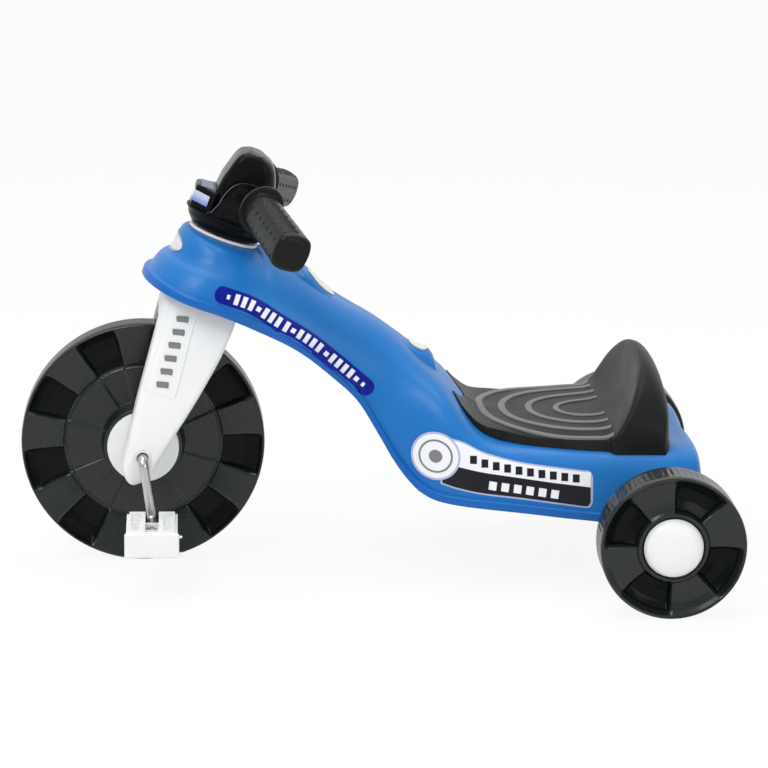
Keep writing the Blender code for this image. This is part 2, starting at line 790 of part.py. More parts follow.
# Rear axle and wheels
REAR_HUB_FACE = 0.0165
REAR_OPENING = 0.0165
REAR_BUSH_FLANGE = 0.0020
REAR_BUSH_FLANGE_RADIUS = 0.0212
CAP_RADIUS = 0.0295
BUSH_INNER_END = REAR_TRACK / 2 - REAR_HUB_FACE - 0.0020
WASHER = 0.0015
SLEEVE_END = BUSH_INNER_END - WASHER - 2 * RUNNING_FIT
BUSH_OUTER_FACE = REAR_HUB_FACE + GAP + REAR_BUSH_FLANGE
NUT_THICKNESS = 0.0016
ROD_END = REAR_TRACK / 2 + BUSH_OUTER_FACE + NUT_THICKNESS + 0.0028

turned("rear_axle", STEEL, DATUM,
       [(0, ROD_END), (ROD_RADIUS * 0.7, ROD_END), (ROD_RADIUS, ROD_END - 0.0012),
        (ROD_RADIUS, 0.0012 - ROD_END), (ROD_RADIUS * 0.7, -ROD_END), (0, -ROD_END)],
       12, (WHEELBASE, 0, REAR_RADIUS), ALONG_Y)
turned("axle_sleeve", BLACK, DATUM,
       [(SLEEVE_RADIUS, SLEEVE_END), (SLEEVE_RADIUS, -SLEEVE_END),
        (ROD_RADIUS + GAP, -SLEEVE_END), (ROD_RADIUS + GAP, SLEEVE_END)],
       24, (WHEELBASE, 0, REAR_RADIUS), ALONG_Y)

# Half profile of the rear wheel from the hub out: radius, raised side, sunk side
REAR_SIDE = (
    (0.0305, REAR_HUB_FACE, REAR_HUB_FACE),
    (0.0315, 0.0186, 0.0186),
    (0.0345, 0.0186, 0.0186),
    (0.0372, 0.0150, 0.0070),
    (REAR_RADIUS - 0.0165, 0.0138, 0.0045),
    (REAR_RADIUS - 0.0060, 0.0165, 0.0060),
    (REAR_RADIUS - 0.0037, 0.0210, 0.0205),
    (REAR_RADIUS - 0.0009, 0.0215, 0.0215),
    (REAR_RADIUS, 0.0185, 0.0185),
)
REAR_CAVITY = ((0.0320, 0.0152), (0.0350, 0.0030), (REAR_RADIUS - 0.0085, 0.0022),
               (REAR_RADIUS - 0.0033, 0.0120))
# Half profile of the front wheel
FRONT_HUB_FACE = 0.0300
FRONT_OPENING = 0.0245
FRONT_SIDE = (
    (0.0400, FRONT_HUB_FACE, FRONT_HUB_FACE),
    (0.0430, 0.0098, 0.0070),
    (0.628 * FRONT_RADIUS, 0.0090, 0.0058),
    (0.648 * FRONT_RADIUS, 0.0062, 0.0050),
    (0.668 * FRONT_RADIUS, 0.0096, 0.0055),
    (FRONT_RADIUS - 0.0100, 0.0145, 0.0072),
    (FRONT_RADIUS - 0.0050, 0.0180, 0.0180),
    (FRONT_RADIUS - 0.0012, 0.0170, 0.0170),
    (FRONT_RADIUS, 0.0100, 0.0100),
)
FRONT_CAVITY = ((0.0368, 0.0272), (0.0402, 0.0040), (FRONT_RADIUS - 0.0130, 0.0030),
                (FRONT_RADIUS - 0.0042, 0.0125))


def wheel_mesh(side_rows, panels, first_edge, raised_first, edge_share):
    """A wheel about Y whose sides step between raised and sunk panels."""
    panel_turn = 2 * math.pi / panels
    shares = (edge_share, 0.5, 1 - edge_share)
    if panels <= 12:
        shares = (edge_share, 0.34, 0.66, 1 - edge_share)
    rings = []
    for panel in range(panels):
        raised = (panel % 2 == 0) == raised_first
        for share in shares:
            turn = first_edge + panel_turn * (panel + share)
            column = 1 if raised else 2
            half = [(row[0], row[column]) for row in side_rows]
            outline = half + [(radius, -y) for radius, y in reversed(half)]
            rings.append([Vector((radius * math.cos(turn), y, radius * math.sin(turn)))
                          for radius, y in outline])
    bm = bmesh.new()
    loops = [[bm.verts.new(point) for point in ring] for ring in rings]
    for i, low in enumerate(loops):
        high = loops[(i + 1) % len(loops)]
        for k in range(len(low) - 1):
            bm.faces.new((low[k], low[k + 1], high[k + 1], high[k]))
    bm.faces.new([ring[0] for ring in loops])
    bm.faces.new([ring[-1] for ring in reversed(loops)])
    return bm


def wheel_cavity(name, parent, opening, side_rows, cavity_rows, steps):
    """The space inside a moulded wheel, open to both sides round the hub."""
    reach = side_rows[0][1] + 0.002
    half = [(opening, reach), (opening, cavity_rows[0][1])] + list(cavity_rows)
    outline = [(0, reach)] + half + [(r, -y) for r, y in reversed(half)] + [(0, -reach)]
    return turned(name, None, parent, outline, steps, (0, 0, 0), ALONG_Y, CUTTERS)


def build_wheel(name, parent, side_rows, cavity_rows, opening, panels, first_edge, edge_share, steps):
    bm = wheel_mesh(side_rows, panels, first_edge, True, edge_share)
    wheel = part(name, bm, BLACK, parent)
    boolean(wheel, wheel_cavity(name + "_inside", parent, opening, side_rows, cavity_rows, steps))
    return wheel


build_wheel("front_wheel", FRONT_AXLE, FRONT_SIDE, FRONT_CAVITY, FRONT_OPENING, FRONT_PANELS,
            math.radians(4), 0.045, 22)

OUT_LEFT = (math.pi / 2, 0, 0)
OUT_RIGHT = (-math.pi / 2, 0, 0)
for side, side_name in ((LEFT, "left"), (RIGHT, "right")):
    outwards = OUT_LEFT if side == LEFT else OUT_RIGHT
    hub = REAR_PIVOTS[side]
    build_wheel(f"rear_wheel_{side_name}", hub, REAR_SIDE, REAR_CAVITY, REAR_OPENING, REAR_PANELS,
                math.radians(-2), 0.05, 18)
    bush_in = -(REAR_TRACK / 2 - BUSH_INNER_END)
    turned(f"rear_bush_{side_name}", WHITE, hub,
           [(REAR_BUSH_FLANGE_RADIUS, BUSH_OUTER_FACE),
            (REAR_BUSH_FLANGE_RADIUS, REAR_HUB_FACE + GAP),
            (REAR_OPENING - GAP, REAR_HUB_FACE + GAP), (REAR_OPENING - GAP, bush_in),
            (ROD_RADIUS + RUNNING_FIT, bush_in), (ROD_RADIUS + RUNNING_FIT, BUSH_OUTER_FACE)],
           22, (0, 0, 0), outwards)
    skirt_in = REAR_BUSH_FLANGE_RADIUS + GAP
    seat_face = REAR_HUB_FACE + GAP
    turned(f"hub_cap_{side_name}", WHITE, hub,
           [(0, 0.0292), (0.0130, 0.0286), (0.0220, 0.0265), (0.0275, 0.0230),
            (CAP_RADIUS, 0.0190), (CAP_RADIUS, seat_face),
            (0.0270, seat_face), (0.0238, 0.0225), (0.0238, seat_face), (skirt_in, seat_face),
            (skirt_in, 0.0244), (0, 0.0266)],
           22, (0, 0, 0), outwards)
    washer_in = SLEEVE_END + RUNNING_FIT
    turned(f"axle_washer_{side_name}", STEEL, DATUM,
           [(0.0105, washer_in + WASHER), (0.0105, washer_in), (ROD_RADIUS + GAP, washer_in),
            (ROD_RADIUS + GAP, washer_in + WASHER)],
           18, (WHEELBASE, 0, REAR_RADIUS), outwards)
    nut_in = REAR_TRACK / 2 + BUSH_OUTER_FACE + RUNNING_FIT
    turned(f"push_nut_{side_name}", STEEL, DATUM,
           [(ROD_RADIUS + GAP, nut_in + NUT_THICKNESS), (0.0065, nut_in + NUT_THICKNESS),
            (0.0105, nut_in + NUT_THICKNESS * 0.4), (0.0105, nut_in),
            (ROD_RADIUS + GAP, nut_in)],
           18, (WHEELBASE, 0, REAR_RADIUS), outwards)


# Fork

# Leg from the crown down: height, front edge, rear edge, outer face, all in the steering frame
LEG = (
    (-0.0640, -0.0384, 0.0374, 0.0598),
    (-0.0760, -0.0388, 0.0378, 0.0610),
    (-0.1040, -0.0365, 0.0364, 0.0650),
    (-0.1460, -0.0330, 0.0299, 0.0715),
    (-0.1820, -0.0300, 0.0223, 0.0765),
    (-0.2060, -0.0272, 0.0165, LEG_OUTER),
    (-0.2332, -0.0240, 0.0110, LEG_OUTER),
    (-0.2480, -0.0225, 0.0085, LEG_OUTER),
    (-0.2570, -0.0185, 0.0040, 0.0772),
    (-0.2625, -0.0125, -0.0015, 0.0755),
    (-0.2640, -0.0095, -0.0040, 0.0735),
)
# The crown's top is drawn in so that it clears the head when the fork turns
CROWN_TOP_EDGE = (-0.0270, 0.0270, 0.0400)
LEG_WALL = 0.0030
AXLE_BORE = 0.0085
BOSS_OUTER = 0.0120
BOSS_FACE = LEG_INNER + 0.0006


def leg_section(front, rear, inner, outer, z, front_round, rear_round, side):
    """A leg's outline, rounded at the outer corners."""
    depth = rear - front
    rf = min(front_round, depth * 0.48, (outer - inner) * 0.9)
    rr = min(rear_round, depth * 0.48, (outer - inner) * 0.9)
    points = [(front, inner)]
    for angle in (0, 30, 60, 90):
        turn = math.radians(angle)
        points.append((front + rf * (1 - math.cos(turn)), outer - rf * (1 - math.sin(turn))))
    for angle in (90, 45, 0):
        turn = math.radians(angle)
        points.append((rear - rr * (1 - math.cos(turn)), outer - rr * (1 - math.sin(turn))))
    points.append((rear, inner))
    return [Vector((x, y * side, z)) for x, y in points]


def leg_pocket(name, side):
    """The hollow of a leg, open towards the wheel."""
    rows = []
    for z, front, rear, outer in LEG:
        if not -0.2560 < z < CROWN_BOTTOM - 0.004:
            continue
        rows.append(leg_section(front + LEG_WALL, rear - LEG_WALL, LEG_INNER - 0.004,
                                outer - LEG_WALL, z, 0.008, 0.005, side))
    return helper(loft(rows), name, STEERING)


def fork_outline():
    """Both legs and the space between them as one solid, rounded towards the front."""
    rows = []
    for z, front, rear, outer in ((CROWN_TOP, *CROWN_TOP_EDGE),) + LEG:
        fall = min(1.0, max(0.0, (-0.05 - z) / 0.12))
        front_round = 0.020 - 0.012 * fall
        right = leg_section(front, rear, 0, outer, z, front_round, 0.006, RIGHT)[1:-1]
        left = leg_section(front, rear, 0, outer, z, front_round, 0.006, LEFT)[1:-1]
        rows.append(right + left[::-1])
    return loft(rows)


def build_fork():
    fork = part("fork", fork_outline(), WHITE, STEERING)
    wheel_slot = box_cutter("wheel_slot", STEERING, (0.14, 2 * LEG_INNER, 0.25),
                            (0, 0, CROWN_BOTTOM - 0.125))
    boolean(fork, wheel_slot)
    post = turned("fork_post", None, STEERING,
                  [(0, POST_TOP), (POST_RADIUS - 0.001, POST_TOP), (POST_RADIUS, POST_TOP - 0.001),
                   (POST_RADIUS, CROWN_TOP - 0.006), (0, CROWN_TOP - 0.006)],
                  24, (0, 0, 0), (0, 0, 0), CUTTERS)
    boolean(fork, post, "UNION")
    tongue = box_cutter("fork_tongue", STEERING, (TONGUE_WIDTH, TONGUE_LENGTH, 2 * TONGUE_RISE),
                        (0, 0, POST_TOP))
    boolean(fork, tongue, "UNION")
    hollow = rod_cutter("crown_hollow", STEERING, POST_RADIUS - 0.0045, 0.060,
                        (0, 0, CROWN_BOTTOM - 0.001 + 0.010), steps=20)
    boolean(fork, hollow)
    boolean(fork, rod_cutter("steering_bolt_bore", STEERING, BOLT_RADIUS + GAP, 0.075,
                             (0, 0, POST_TOP - 0.015), steps=12))
    for side, side_name in ((LEFT, "left"), (RIGHT, "right")):
        pocket = leg_pocket(f"leg_pocket_{side_name}", side)
        boolean(fork, pocket)
    for side, side_name in ((LEFT, "left"), (RIGHT, "right")):
        outwards = OUT_LEFT if side == LEFT else OUT_RIGHT
        boss = turned(f"leg_boss_{side_name}", None, FRONT_AXLE,
                      [(0, LEG_OUTER - 0.001), (BOSS_OUTER, LEG_OUTER - 0.001),
                       (BOSS_OUTER, BOSS_FACE), (0, BOSS_FACE)],
                      24, (0, 0, 0), outwards, CUTTERS)
        boolean(fork, boss, "UNION")
    boolean(fork, rod_cutter("leg_bore", FRONT_AXLE, AXLE_BORE + GAP, 2 * LEG_OUTER + 0.02,
                             (0, 0, 0), ALONG_Y, 24))
    return fork


build_fork()


# Front hub, bushes, crank and pedals
for side, side_name in ((LEFT, "left"), (RIGHT, "right")):
    outwards = OUT_LEFT if side == LEFT else OUT_RIGHT
    disc_in = FRONT_HUB_FACE + GAP
    bore = ROD_RADIUS + GAP
    turned(f"hub_disc_{side_name}", WHITE, FRONT_AXLE,
           [(HUB_RADIUS - 0.0012, HUB_FACE_Y), (HUB_RADIUS, HUB_FACE_Y - 0.0012),
            (HUB_RADIUS, disc_in), (FRONT_OPENING - GAP, disc_in), (FRONT_OPENING - GAP, 0.0140),
            (bore, 0.0140), (bore, HUB_FACE_Y)],
           28, (0, 0, 0), outwards)
    flange_in = HUB_FACE_Y + RUNNING_FIT
    flange_out = BOSS_FACE - GAP
    bush_end = LEG_OUTER + 0.0010
    turned(f"axle_bush_{side_name}", WHITE, STEERING,
           [(AXLE_BORE, bush_end),
            (AXLE_BORE, flange_out), (0.0130, flange_out), (0.0130, flange_in),
            (ROD_RADIUS + RUNNING_FIT, flange_in), (ROD_RADIUS + RUNNING_FIT, bush_end - 0.0030),
            (ROD_RADIUS + 0.0020, bush_end)],
           20, AXLE_IN_STEERING, outwards)


def crank_path():
    """The rod's middle line from the left pedal's end to the right one, with rounded bends."""
    arm = Vector((math.sin(CRANK_LEAN), 0, -math.cos(CRANK_LEAN))) * CRANK_RADIUS
    out = CRANK_ARM_Y + SPINDLE_LENGTH
    corners = [arm + Vector((0, -out, 0)), arm + Vector((0, -CRANK_ARM_Y, 0)),
               Vector((0, -CRANK_ARM_Y, 0)), Vector((0, CRANK_ARM_Y, 0)),
               -arm + Vector((0, CRANK_ARM_Y, 0)), -arm + Vector((0, out, 0))]
    path = [corners[0]]
    for before, corner, after in zip(corners, corners[1:], corners[2:]):
        back = (before - corner).normalized()
        ahead = (after - corner).normalized()
        for k in range(4):
            turn = math.pi / 2 * k / 3
            share_back = 1 - math.sin(turn)
            share_ahead = 1 - math.cos(turn)
            path.append(corner + (back * share_back + ahead * share_ahead) * BEND_RADIUS)
    path.append(corners[-1])
    return path


side_ways = Vector((math.cos(CRANK_LEAN), 0, math.sin(CRANK_LEAN)))
rod_line = crank_path()
rod_frames = []
for i, point in enumerate(rod_line):
    along = (rod_line[min(i + 1, len(rod_line) - 1)] - rod_line[max(i - 1, 0)]).normalized()
    rod_frames.append((side_ways, along.cross(side_ways)))
part("crank", sweep(rod_line, rod_frames, disc_section(ROD_RADIUS, 10)), STEEL, FRONT_AXLE)


def build_pedal(side, side_name):
    """A pedal along its spindle: open channel with clips above, two hollows either side."""
    hub = PEDAL_PIVOTS[side]
    start = PEDAL_START
    end = start + PEDAL_LENGTH
    middle = side * (start + end) / 2
    half_width, half_height = PEDAL_WIDTH / 2, PEDAL_HEIGHT / 2
    bm = bmesh.new()
    bmesh.ops.create_cube(bm, size=1)
    bmesh.ops.scale(bm, vec=(PEDAL_WIDTH, PEDAL_LENGTH, PEDAL_HEIGHT), verts=bm.verts)
    bmesh.ops.translate(bm, vec=(0, middle, 0), verts=bm.verts)
    pedal = part(f"pedal_{side_name}", bm, WHITE, hub)
    bevel(pedal, 0.0022, 2)
    flange_y = side * (end - 0.0045 / 2)
    flange = box_cutter(f"pedal_flange_{side_name}", hub,
                        (PEDAL_WIDTH + 0.0030, 0.0045, PEDAL_HEIGHT + 0.0010), (0, flange_y, 0))
    bevel(flange, 0.0012, 1)
    boolean(pedal, flange, "UNION")
    channel_length = PEDAL_LENGTH - 0.0080
    channel_y = side * (start - 0.001 + channel_length / 2)
    channel = box_cutter(f"pedal_channel_{side_name}", hub,
                         (PEDAL_CHANNEL, channel_length, half_height + 0.002),
                         (0, channel_y, (half_height + 0.002) / 2))
    boolean(pedal, channel)
    well_length = PEDAL_LENGTH - 0.024
    for well_side in (-1, 1):
        well_x = well_side * (PEDAL_CHANNEL / 2 + half_width) / 2
        well = box_cutter(f"pedal_well_{side_name}_{well_side + 2}", hub,
                          (0.0090, well_length, 0.0080), (well_x, middle, half_height))
        bevel(well, 0.0018, 1, 60)
        boolean(pedal, well)
        under = box_cutter(f"pedal_under_{side_name}_{well_side + 2}", hub,
                           (half_width - PEDAL_CHANNEL / 2 - 0.0050, PEDAL_LENGTH - 0.0080, 0.0160),
                           (well_x, middle, -half_height + 0.0020))
        boolean(pedal, under)
    for n, share in enumerate((0.36, 0.66, 0.90)):
        clip = box_cutter(f"pedal_clip_{side_name}_{n + 1}", hub,
                          (PEDAL_CHANNEL + 0.0030, 0.0040, 0.0160),
                          (0, side * (start + PEDAL_LENGTH * share), 0))
        boolean(pedal, clip, "UNION")
    bore_length = SPINDLE_LENGTH - start + 0.0040
    boolean(pedal, rod_cutter(f"pedal_bore_{side_name}", hub, ROD_RADIUS + RUNNING_FIT, bore_length,
                              (0, side * (start - 0.002 + bore_length / 2), 0), ALONG_Y, 16))
    return pedal


for side, side_name in ((LEFT, "left"), (RIGHT, "right")):
    build_pedal(side, side_name)


# Console: bowl, saddle and cross arms
SADDLE_HALF_WIDTH = 0.0400
COVER_HALF_WIDTH = 0.0300
BASE_FLOOR = 0.0003
SOCKET_WALL = 0.0045


def extruded(points, y_low, y_high):
    """A solid with an outline in x and z between two widths."""
    return loft([[Vector((x, y_low, z)) for x, z in points],
                 [Vector((x, y_high, z)) for x, z in points]])


def build_console_base():
    bowl_in = BOWL_RIM_RADIUS - 0.0028
    pocket_floor = BASE_FLOOR + 0.0030
    hub_radius = POST_RADIUS + GAP + SOCKET_WALL
    base = turned("console_base", CONSOLE_BLACK, STEERING,
                  [(0, BOWL_RIM_Z), (hub_radius, BOWL_RIM_Z), (hub_radius, pocket_floor),
                   (0.0320, pocket_floor), (bowl_in, BOWL_RIM_Z - 0.004),
                   (bowl_in, BOWL_RIM_Z), (BOWL_RIM_RADIUS + 0.0012, BOWL_RIM_Z),
                   (BOWL_RIM_RADIUS + 0.0012, BOWL_RIM_Z - 0.0022),
                   (BOWL_RIM_RADIUS - 0.0006, BOWL_RIM_Z - 0.0026),
                   (0.0418, 0.0085), (0.0372, 0.0028), (0.0345, BASE_FLOOR), (0, BASE_FLOOR)], 28)
    outline = [(-0.0180, 0.0100), (-0.0186, 0.0175), (-0.0160, 0.0240), (-0.0122, 0.0315),
               (-0.0092, 0.0400), (-0.0050, 0.0480), (0.0010, 0.0535), (0.0085, 0.0560),
               (0.0165, 0.0555), (0.0260, 0.0500), (0.0350, 0.0420), (0.0395, 0.0300),
               (0.0400, 0.0160), (0.0340, 0.0100)]
    saddle = helper(extruded(outline, -SADDLE_HALF_WIDTH, SADDLE_HALF_WIDTH), "saddle", STEERING)
    bevel(saddle, 0.0016, 1, 60)
    boolean(base, saddle, "UNION")
    lip_path = [(-0.0300, 0.0180), (-0.0196, 0.0186), (-0.0166, 0.0245), (-0.0128, 0.0320),
                (-0.0098, 0.0405), (-0.0055, 0.0486), (0.0006, 0.0542), (0.0085, 0.0568),
                (0.0165, 0.0563), (0.0240, 0.0524)]
    arm = rod_cutter("cross_arm", STEERING, ARM_RADIUS, 2 * ARM_REACH,
                     (ARM_CENTRE[0], 0, ARM_CENTRE[1]), ALONG_Y, 20)
    bevel(arm, 0.0012, 1, 60)
    boolean(base, arm, "UNION")
    for side, side_name in ((LEFT, "left"), (RIGHT, "right")):
        start, along = grip_axis(side)
        turn = Vector((0, 0, 1)).rotation_difference(along).to_euler()
        trim = rod_cutter(f"arm_end_{side_name}", STEERING, 0.040, 0.060,
                          start + along * (0.030 - GAP), turn, 16)
        boolean(base, trim)
        lip = []
        for x, z in lip_path:
            lip.append([Vector((x, side * (SADDLE_HALF_WIDTH - 0.004), z - 0.0012)),
                        Vector((x, side * (SADDLE_HALF_WIDTH + 0.0018), z - 0.0012)),
                        Vector((x, side * (SADDLE_HALF_WIDTH + 0.0018), z + 0.0010)),
                        Vector((x, side * (SADDLE_HALF_WIDTH - 0.004), z + 0.0010))])
        boolean(base, helper(loft(lip[1:]), f"saddle_lip_{side_name}", STEERING), "UNION")
        inner = start - along * 0.018
        outer = start + along * STUB_REACH
        middle = (inner + outer) / 2
        stub = rod_cutter(f"grip_stub_{side_name}", STEERING, STUB_RADIUS, (outer - inner).length,
                          middle, turn, 14)
        boolean(base, stub, "UNION")
    well = box_cutter("saddle_well", STEERING,
                      (0.070, 2 * (COVER_HALF_WIDTH + GAP), 0.08),
                      (0.0304 - 0.035 + 0.0003, 0, BOWL_RIM_Z + 0.0002 + 0.04))
    boolean(base, well)
    socket = rod_cutter("post_socket", STEERING, POST_RADIUS + GAP, 2 * (POST_TOP + GAP),
                        (0, 0, 0), steps=24)
    boolean(base, socket)
    slot = box_cutter("tongue_slot", STEERING,
                      (TONGUE_WIDTH + 2 * GAP, TONGUE_LENGTH + 2 * GAP, 2 * (TONGUE_RISE + GAP)),
                      (0, 0, POST_TOP))
    boolean(base, slot)
    boolean(base, rod_cutter("bolt_hole", STEERING, BOLT_RADIUS + GAP, 0.05, (0, 0, 0.01), steps=12))
    return base


def grip_axis(side):
    start = Vector((GRIP_START.x, side * GRIP_START.y, GRIP_START.z))
    end = Vector((GRIP_END.x, side * GRIP_END.y, GRIP_END.z))
    return start, (end - start).normalized()


build_console_base()

BOLT_HEAD_RADIUS = 0.0070
BOLT_HEAD = 0.0050
BOLT_WASHER = 0.0012
BOLT_TIP = -0.0480
washer_base = BOWL_RIM_Z + GAP
turned("steering_washer", STEEL, STEERING,
       [(0.0100, washer_base + BOLT_WASHER), (0.0100, washer_base),
        (BOLT_RADIUS + GAP, washer_base), (BOLT_RADIUS + GAP, washer_base + BOLT_WASHER)], 16)
head_base = washer_base + BOLT_WASHER + GAP
turned("steering_bolt", STEEL, STEERING,
       [(0, head_base + BOLT_HEAD), (BOLT_HEAD_RADIUS * 0.85, head_base + BOLT_HEAD),
        (BOLT_HEAD_RADIUS, head_base + BOLT_HEAD * 0.8), (BOLT_HEAD_RADIUS, head_base),
        (BOLT_RADIUS, head_base), (BOLT_RADIUS, BOLT_TIP + 0.002),
        (BOLT_RADIUS * 0.7, BOLT_TIP), (0, BOLT_TIP)], 12)


# Console cover: prow with its lens, and the hump
PROW_TOP = 0.0405
COVER_BASE = BOWL_RIM_Z + GAP
COVER_WALL = 0.0026


def prow_outline(inset, z):
    """The cover in plan at a height: a blunt prow with two corners, then straight sides."""
    front, corner_x, half = -0.0435 + inset, -0.0235 + inset * 0.4, 0.0345 - inset
    nose = 0.0165 - inset * 0.4
    rear_half = COVER_HALF_WIDTH - inset
    left = [(front, -nose), (corner_x, -half), (-0.0195, -rear_half),
            (0.0200, -rear_half), (0.0300 - inset, -rear_half * 0.45)]
    right = [(x, -y) for x, y in reversed(left)]
    return [Vector((x, y, z)) for x, y in left + right]


def hump_section(x_front, x_rear, half, z, inset):
    front, rear, half = x_front + inset, x_rear - inset, half - inset
    depth = rear - front
    left = [(front, -half * 0.84), (front + min(0.004, depth * 0.2), -half),
            (rear - min(0.0085, depth * 0.3), -half),
            (rear - min(0.0022, depth * 0.1), -half * 0.72), (rear, -half * 0.38)]
    right = [(x, -y) for x, y in reversed(left)]
    return [Vector((x, y, z)) for x, y in left + right]


def cover_rows(inset):
    low = COVER_BASE if inset == 0 else COVER_BASE - 0.003
    rows = [prow_outline(inset, low), prow_outline(inset, PROW_TOP - 0.0022 - inset)]
    top = prow_outline(inset + 0.0014, PROW_TOP - 0.0022 - inset)
    rows.append([point + Vector((0.0010, 0, 0.0022)) for point in top])
    return rows


def hump_rows(inset):
    low = COVER_BASE + 0.004 if inset == 0 else COVER_BASE - 0.003
    levels = ((low, -0.0255, 0.0298, 0.0300), (0.0565, -0.0218, 0.0300, 0.0300),
              (0.0590, -0.0211, 0.0335, 0.0300), (0.0640, -0.0196, 0.0325, 0.0298),
              (0.0770, -0.0158, 0.0275, 0.0292), (0.0845, -0.0118, 0.0210, 0.0276),
              (0.0885, -0.0050, 0.0120, 0.0235))
    rows = []
    for z, x_front, x_rear, half in levels:
        if inset and z > 0.083:
            z -= inset
        rows.append(hump_section(x_front, x_rear, half, z, inset))
    return rows


def build_cover():
    cover = part("console_cover", loft(cover_rows(0)), CONSOLE_BLACK, STEERING)
    boolean(cover, helper(loft(hump_rows(0)), "hump", STEERING), "UNION")
    boolean(cover, helper(loft(cover_rows(COVER_WALL)), "prow_inside", STEERING))
    boolean(cover, helper(loft(hump_rows(COVER_WALL)), "hump_inside", STEERING))
    return cover


COVER = build_cover()


def lens_loft(low, high, grow, depth_extra):
    rings = []
    for z in (low, high):
        nose, corner_x, half = 0.0165, -0.0235, 0.0345
        depth = LENS_DEPTH + depth_extra
        front = -0.0435
        outer = [(-0.0215 + depth_extra, half + grow), (corner_x, half + grow),
                 (front - grow, nose + grow * 0.4)]
        inner = [(front + depth, nose - depth * 0.45), (corner_x + depth * 0.35, half - depth),
                 (-0.0215 + depth_extra, half - depth)]
        ring = outer + [(x, -y) for x, y in reversed(outer)]
        ring += [(x, -y) for x, y in reversed(inner)] + inner
        rings.append([Vector((x, y, z)) for x, y in ring])
    return loft(rings)


boolean(COVER, helper(lens_loft(LENS_LOW - GAP, LENS_HIGH + GAP, 0.004, GAP), "lens_seat", STEERING))
part("headlight_lens", lens_loft(LENS_LOW, LENS_HIGH, LENS_PROUD, 0), SILVER, STEERING)


# Grips
def build_grip(side, side_name):
    start, along = grip_axis(side)
    up = Vector((0, 0, 1)) - along * along.z
    up.normalize()
    across = along.cross(up)
    length = (Vector((GRIP_END.x, side * GRIP_END.y, GRIP_END.z)) - start).length
    rings = []
    rows = ((0, GRIP_DISC_RADIUS - 0.0008, 1.0), (0.0012, GRIP_DISC_RADIUS, 1.0),
            (GRIP_DISC, GRIP_DISC_RADIUS - 0.0004, 1.0),
            (GRIP_DISC + 0.0004, GRIP_RADIUS, 0.6), (0.014, GRIP_RADIUS - 0.0008, 0.0),
            (length - 0.008, GRIP_RADIUS + 0.0010, 0), (length - 0.0026, GRIP_RADIUS - 0.0012, 0),
            (length, GRIP_RADIUS - 0.0060, 0))
    count = 16
    for distance, radius, disc in rows:
        ring = []
        for i in range(count):
            turn = 2 * math.pi * (i + 0.5) / count
            c, s = math.cos(turn), math.sin(turn)
            octagon = 1 / (abs(c) ** 5 + abs(s) ** 5) ** 0.2
            octagon = 1 + (octagon - 1) * 0.55
            shape = octagon * (1 - disc) + disc
            tall = 1.0 + 0.10 * disc
            ring.append(start + along * distance + across * (radius * shape * c * 0.96)
                        + up * (radius * shape * s * tall))
        rings.append(ring)
    grip = part(f"grip_{side_name}", loft(rings), GRIP_BLACK, STEERING)
    bore_end = STUB_REACH + 0.002
    turn = Vector((0, 0, 1)).rotation_difference(along).to_euler()
    boolean(grip, rod_cutter(f"grip_bore_{side_name}", STEERING, STUB_RADIUS + GAP,
                             bore_end + 0.010, start + along * (bore_end - 0.010) / 2, turn, 14))
    return grip


for side, side_name in ((LEFT, "left"), (RIGHT, "right")):
    build_grip(side, side_name)
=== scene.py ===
import math

import bmesh
import bpy
from mathutils import Matrix, Vector
from mathutils.bvhtree import BVHTree


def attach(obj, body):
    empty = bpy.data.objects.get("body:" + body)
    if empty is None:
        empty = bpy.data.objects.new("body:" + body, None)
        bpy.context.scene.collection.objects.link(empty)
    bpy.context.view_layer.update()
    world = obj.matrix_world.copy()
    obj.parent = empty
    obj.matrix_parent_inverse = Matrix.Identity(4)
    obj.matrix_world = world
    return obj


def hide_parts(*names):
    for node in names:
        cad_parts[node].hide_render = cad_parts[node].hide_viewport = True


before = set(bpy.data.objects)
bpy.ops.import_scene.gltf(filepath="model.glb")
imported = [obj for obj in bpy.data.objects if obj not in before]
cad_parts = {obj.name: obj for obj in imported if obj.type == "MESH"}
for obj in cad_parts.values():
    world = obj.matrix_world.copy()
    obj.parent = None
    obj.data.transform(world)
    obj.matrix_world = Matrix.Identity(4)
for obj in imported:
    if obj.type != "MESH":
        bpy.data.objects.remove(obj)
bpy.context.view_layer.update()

LEFT, RIGHT = -1, 1
SIDES = ((LEFT, "left"), (RIGHT, "right"))

# Sizes the looks share with the solids, in metres
GAP = 0.0003
RUNNING_FIT = 0.0004
WALL = 0.003
FRONT_RADIUS = 0.125
REAR_RADIUS = 0.0725
WHEELBASE = 0.521
REAR_TRACK = 0.421
ROD_RADIUS = 0.00475
HEAD_X = 0.083
HEAD_Z = 0.343
RAKE = math.radians(19.5)
CROWN_TOP = -0.050
CROWN_BOTTOM = -0.096
LEG_INNER = 0.0368
LEG_OUTER = 0.078
BOSS_FACE = LEG_INNER + 0.0006
POST_RADIUS = 0.0215
POST_TOP = 0.0035
BUSH_RADIUS = 0.0305
BUSH_FLANGE_RADIUS = 0.0365
BUSH_FLANGE = 0.0030
HEAD_FACE = -0.0040
CRANK_RADIUS = 0.0635
CRANK_LEAN = math.radians(8.6)
CRANK_ARM_Y = 0.0873
SPINDLE_LENGTH = 0.085
HUB_FACE_Y = 0.0345
HUB_RADIUS = 0.0366
PEDAL_START = 0.0068
PEDAL_LENGTH = 0.084
PEDAL_WIDTH = 0.051
PEDAL_HEIGHT = 0.0245
PEDAL_CHANNEL = 0.0134
DECK_Z = 0.1455
DATUM_X = -(WHEELBASE + REAR_RADIUS - FRONT_RADIUS) / 2

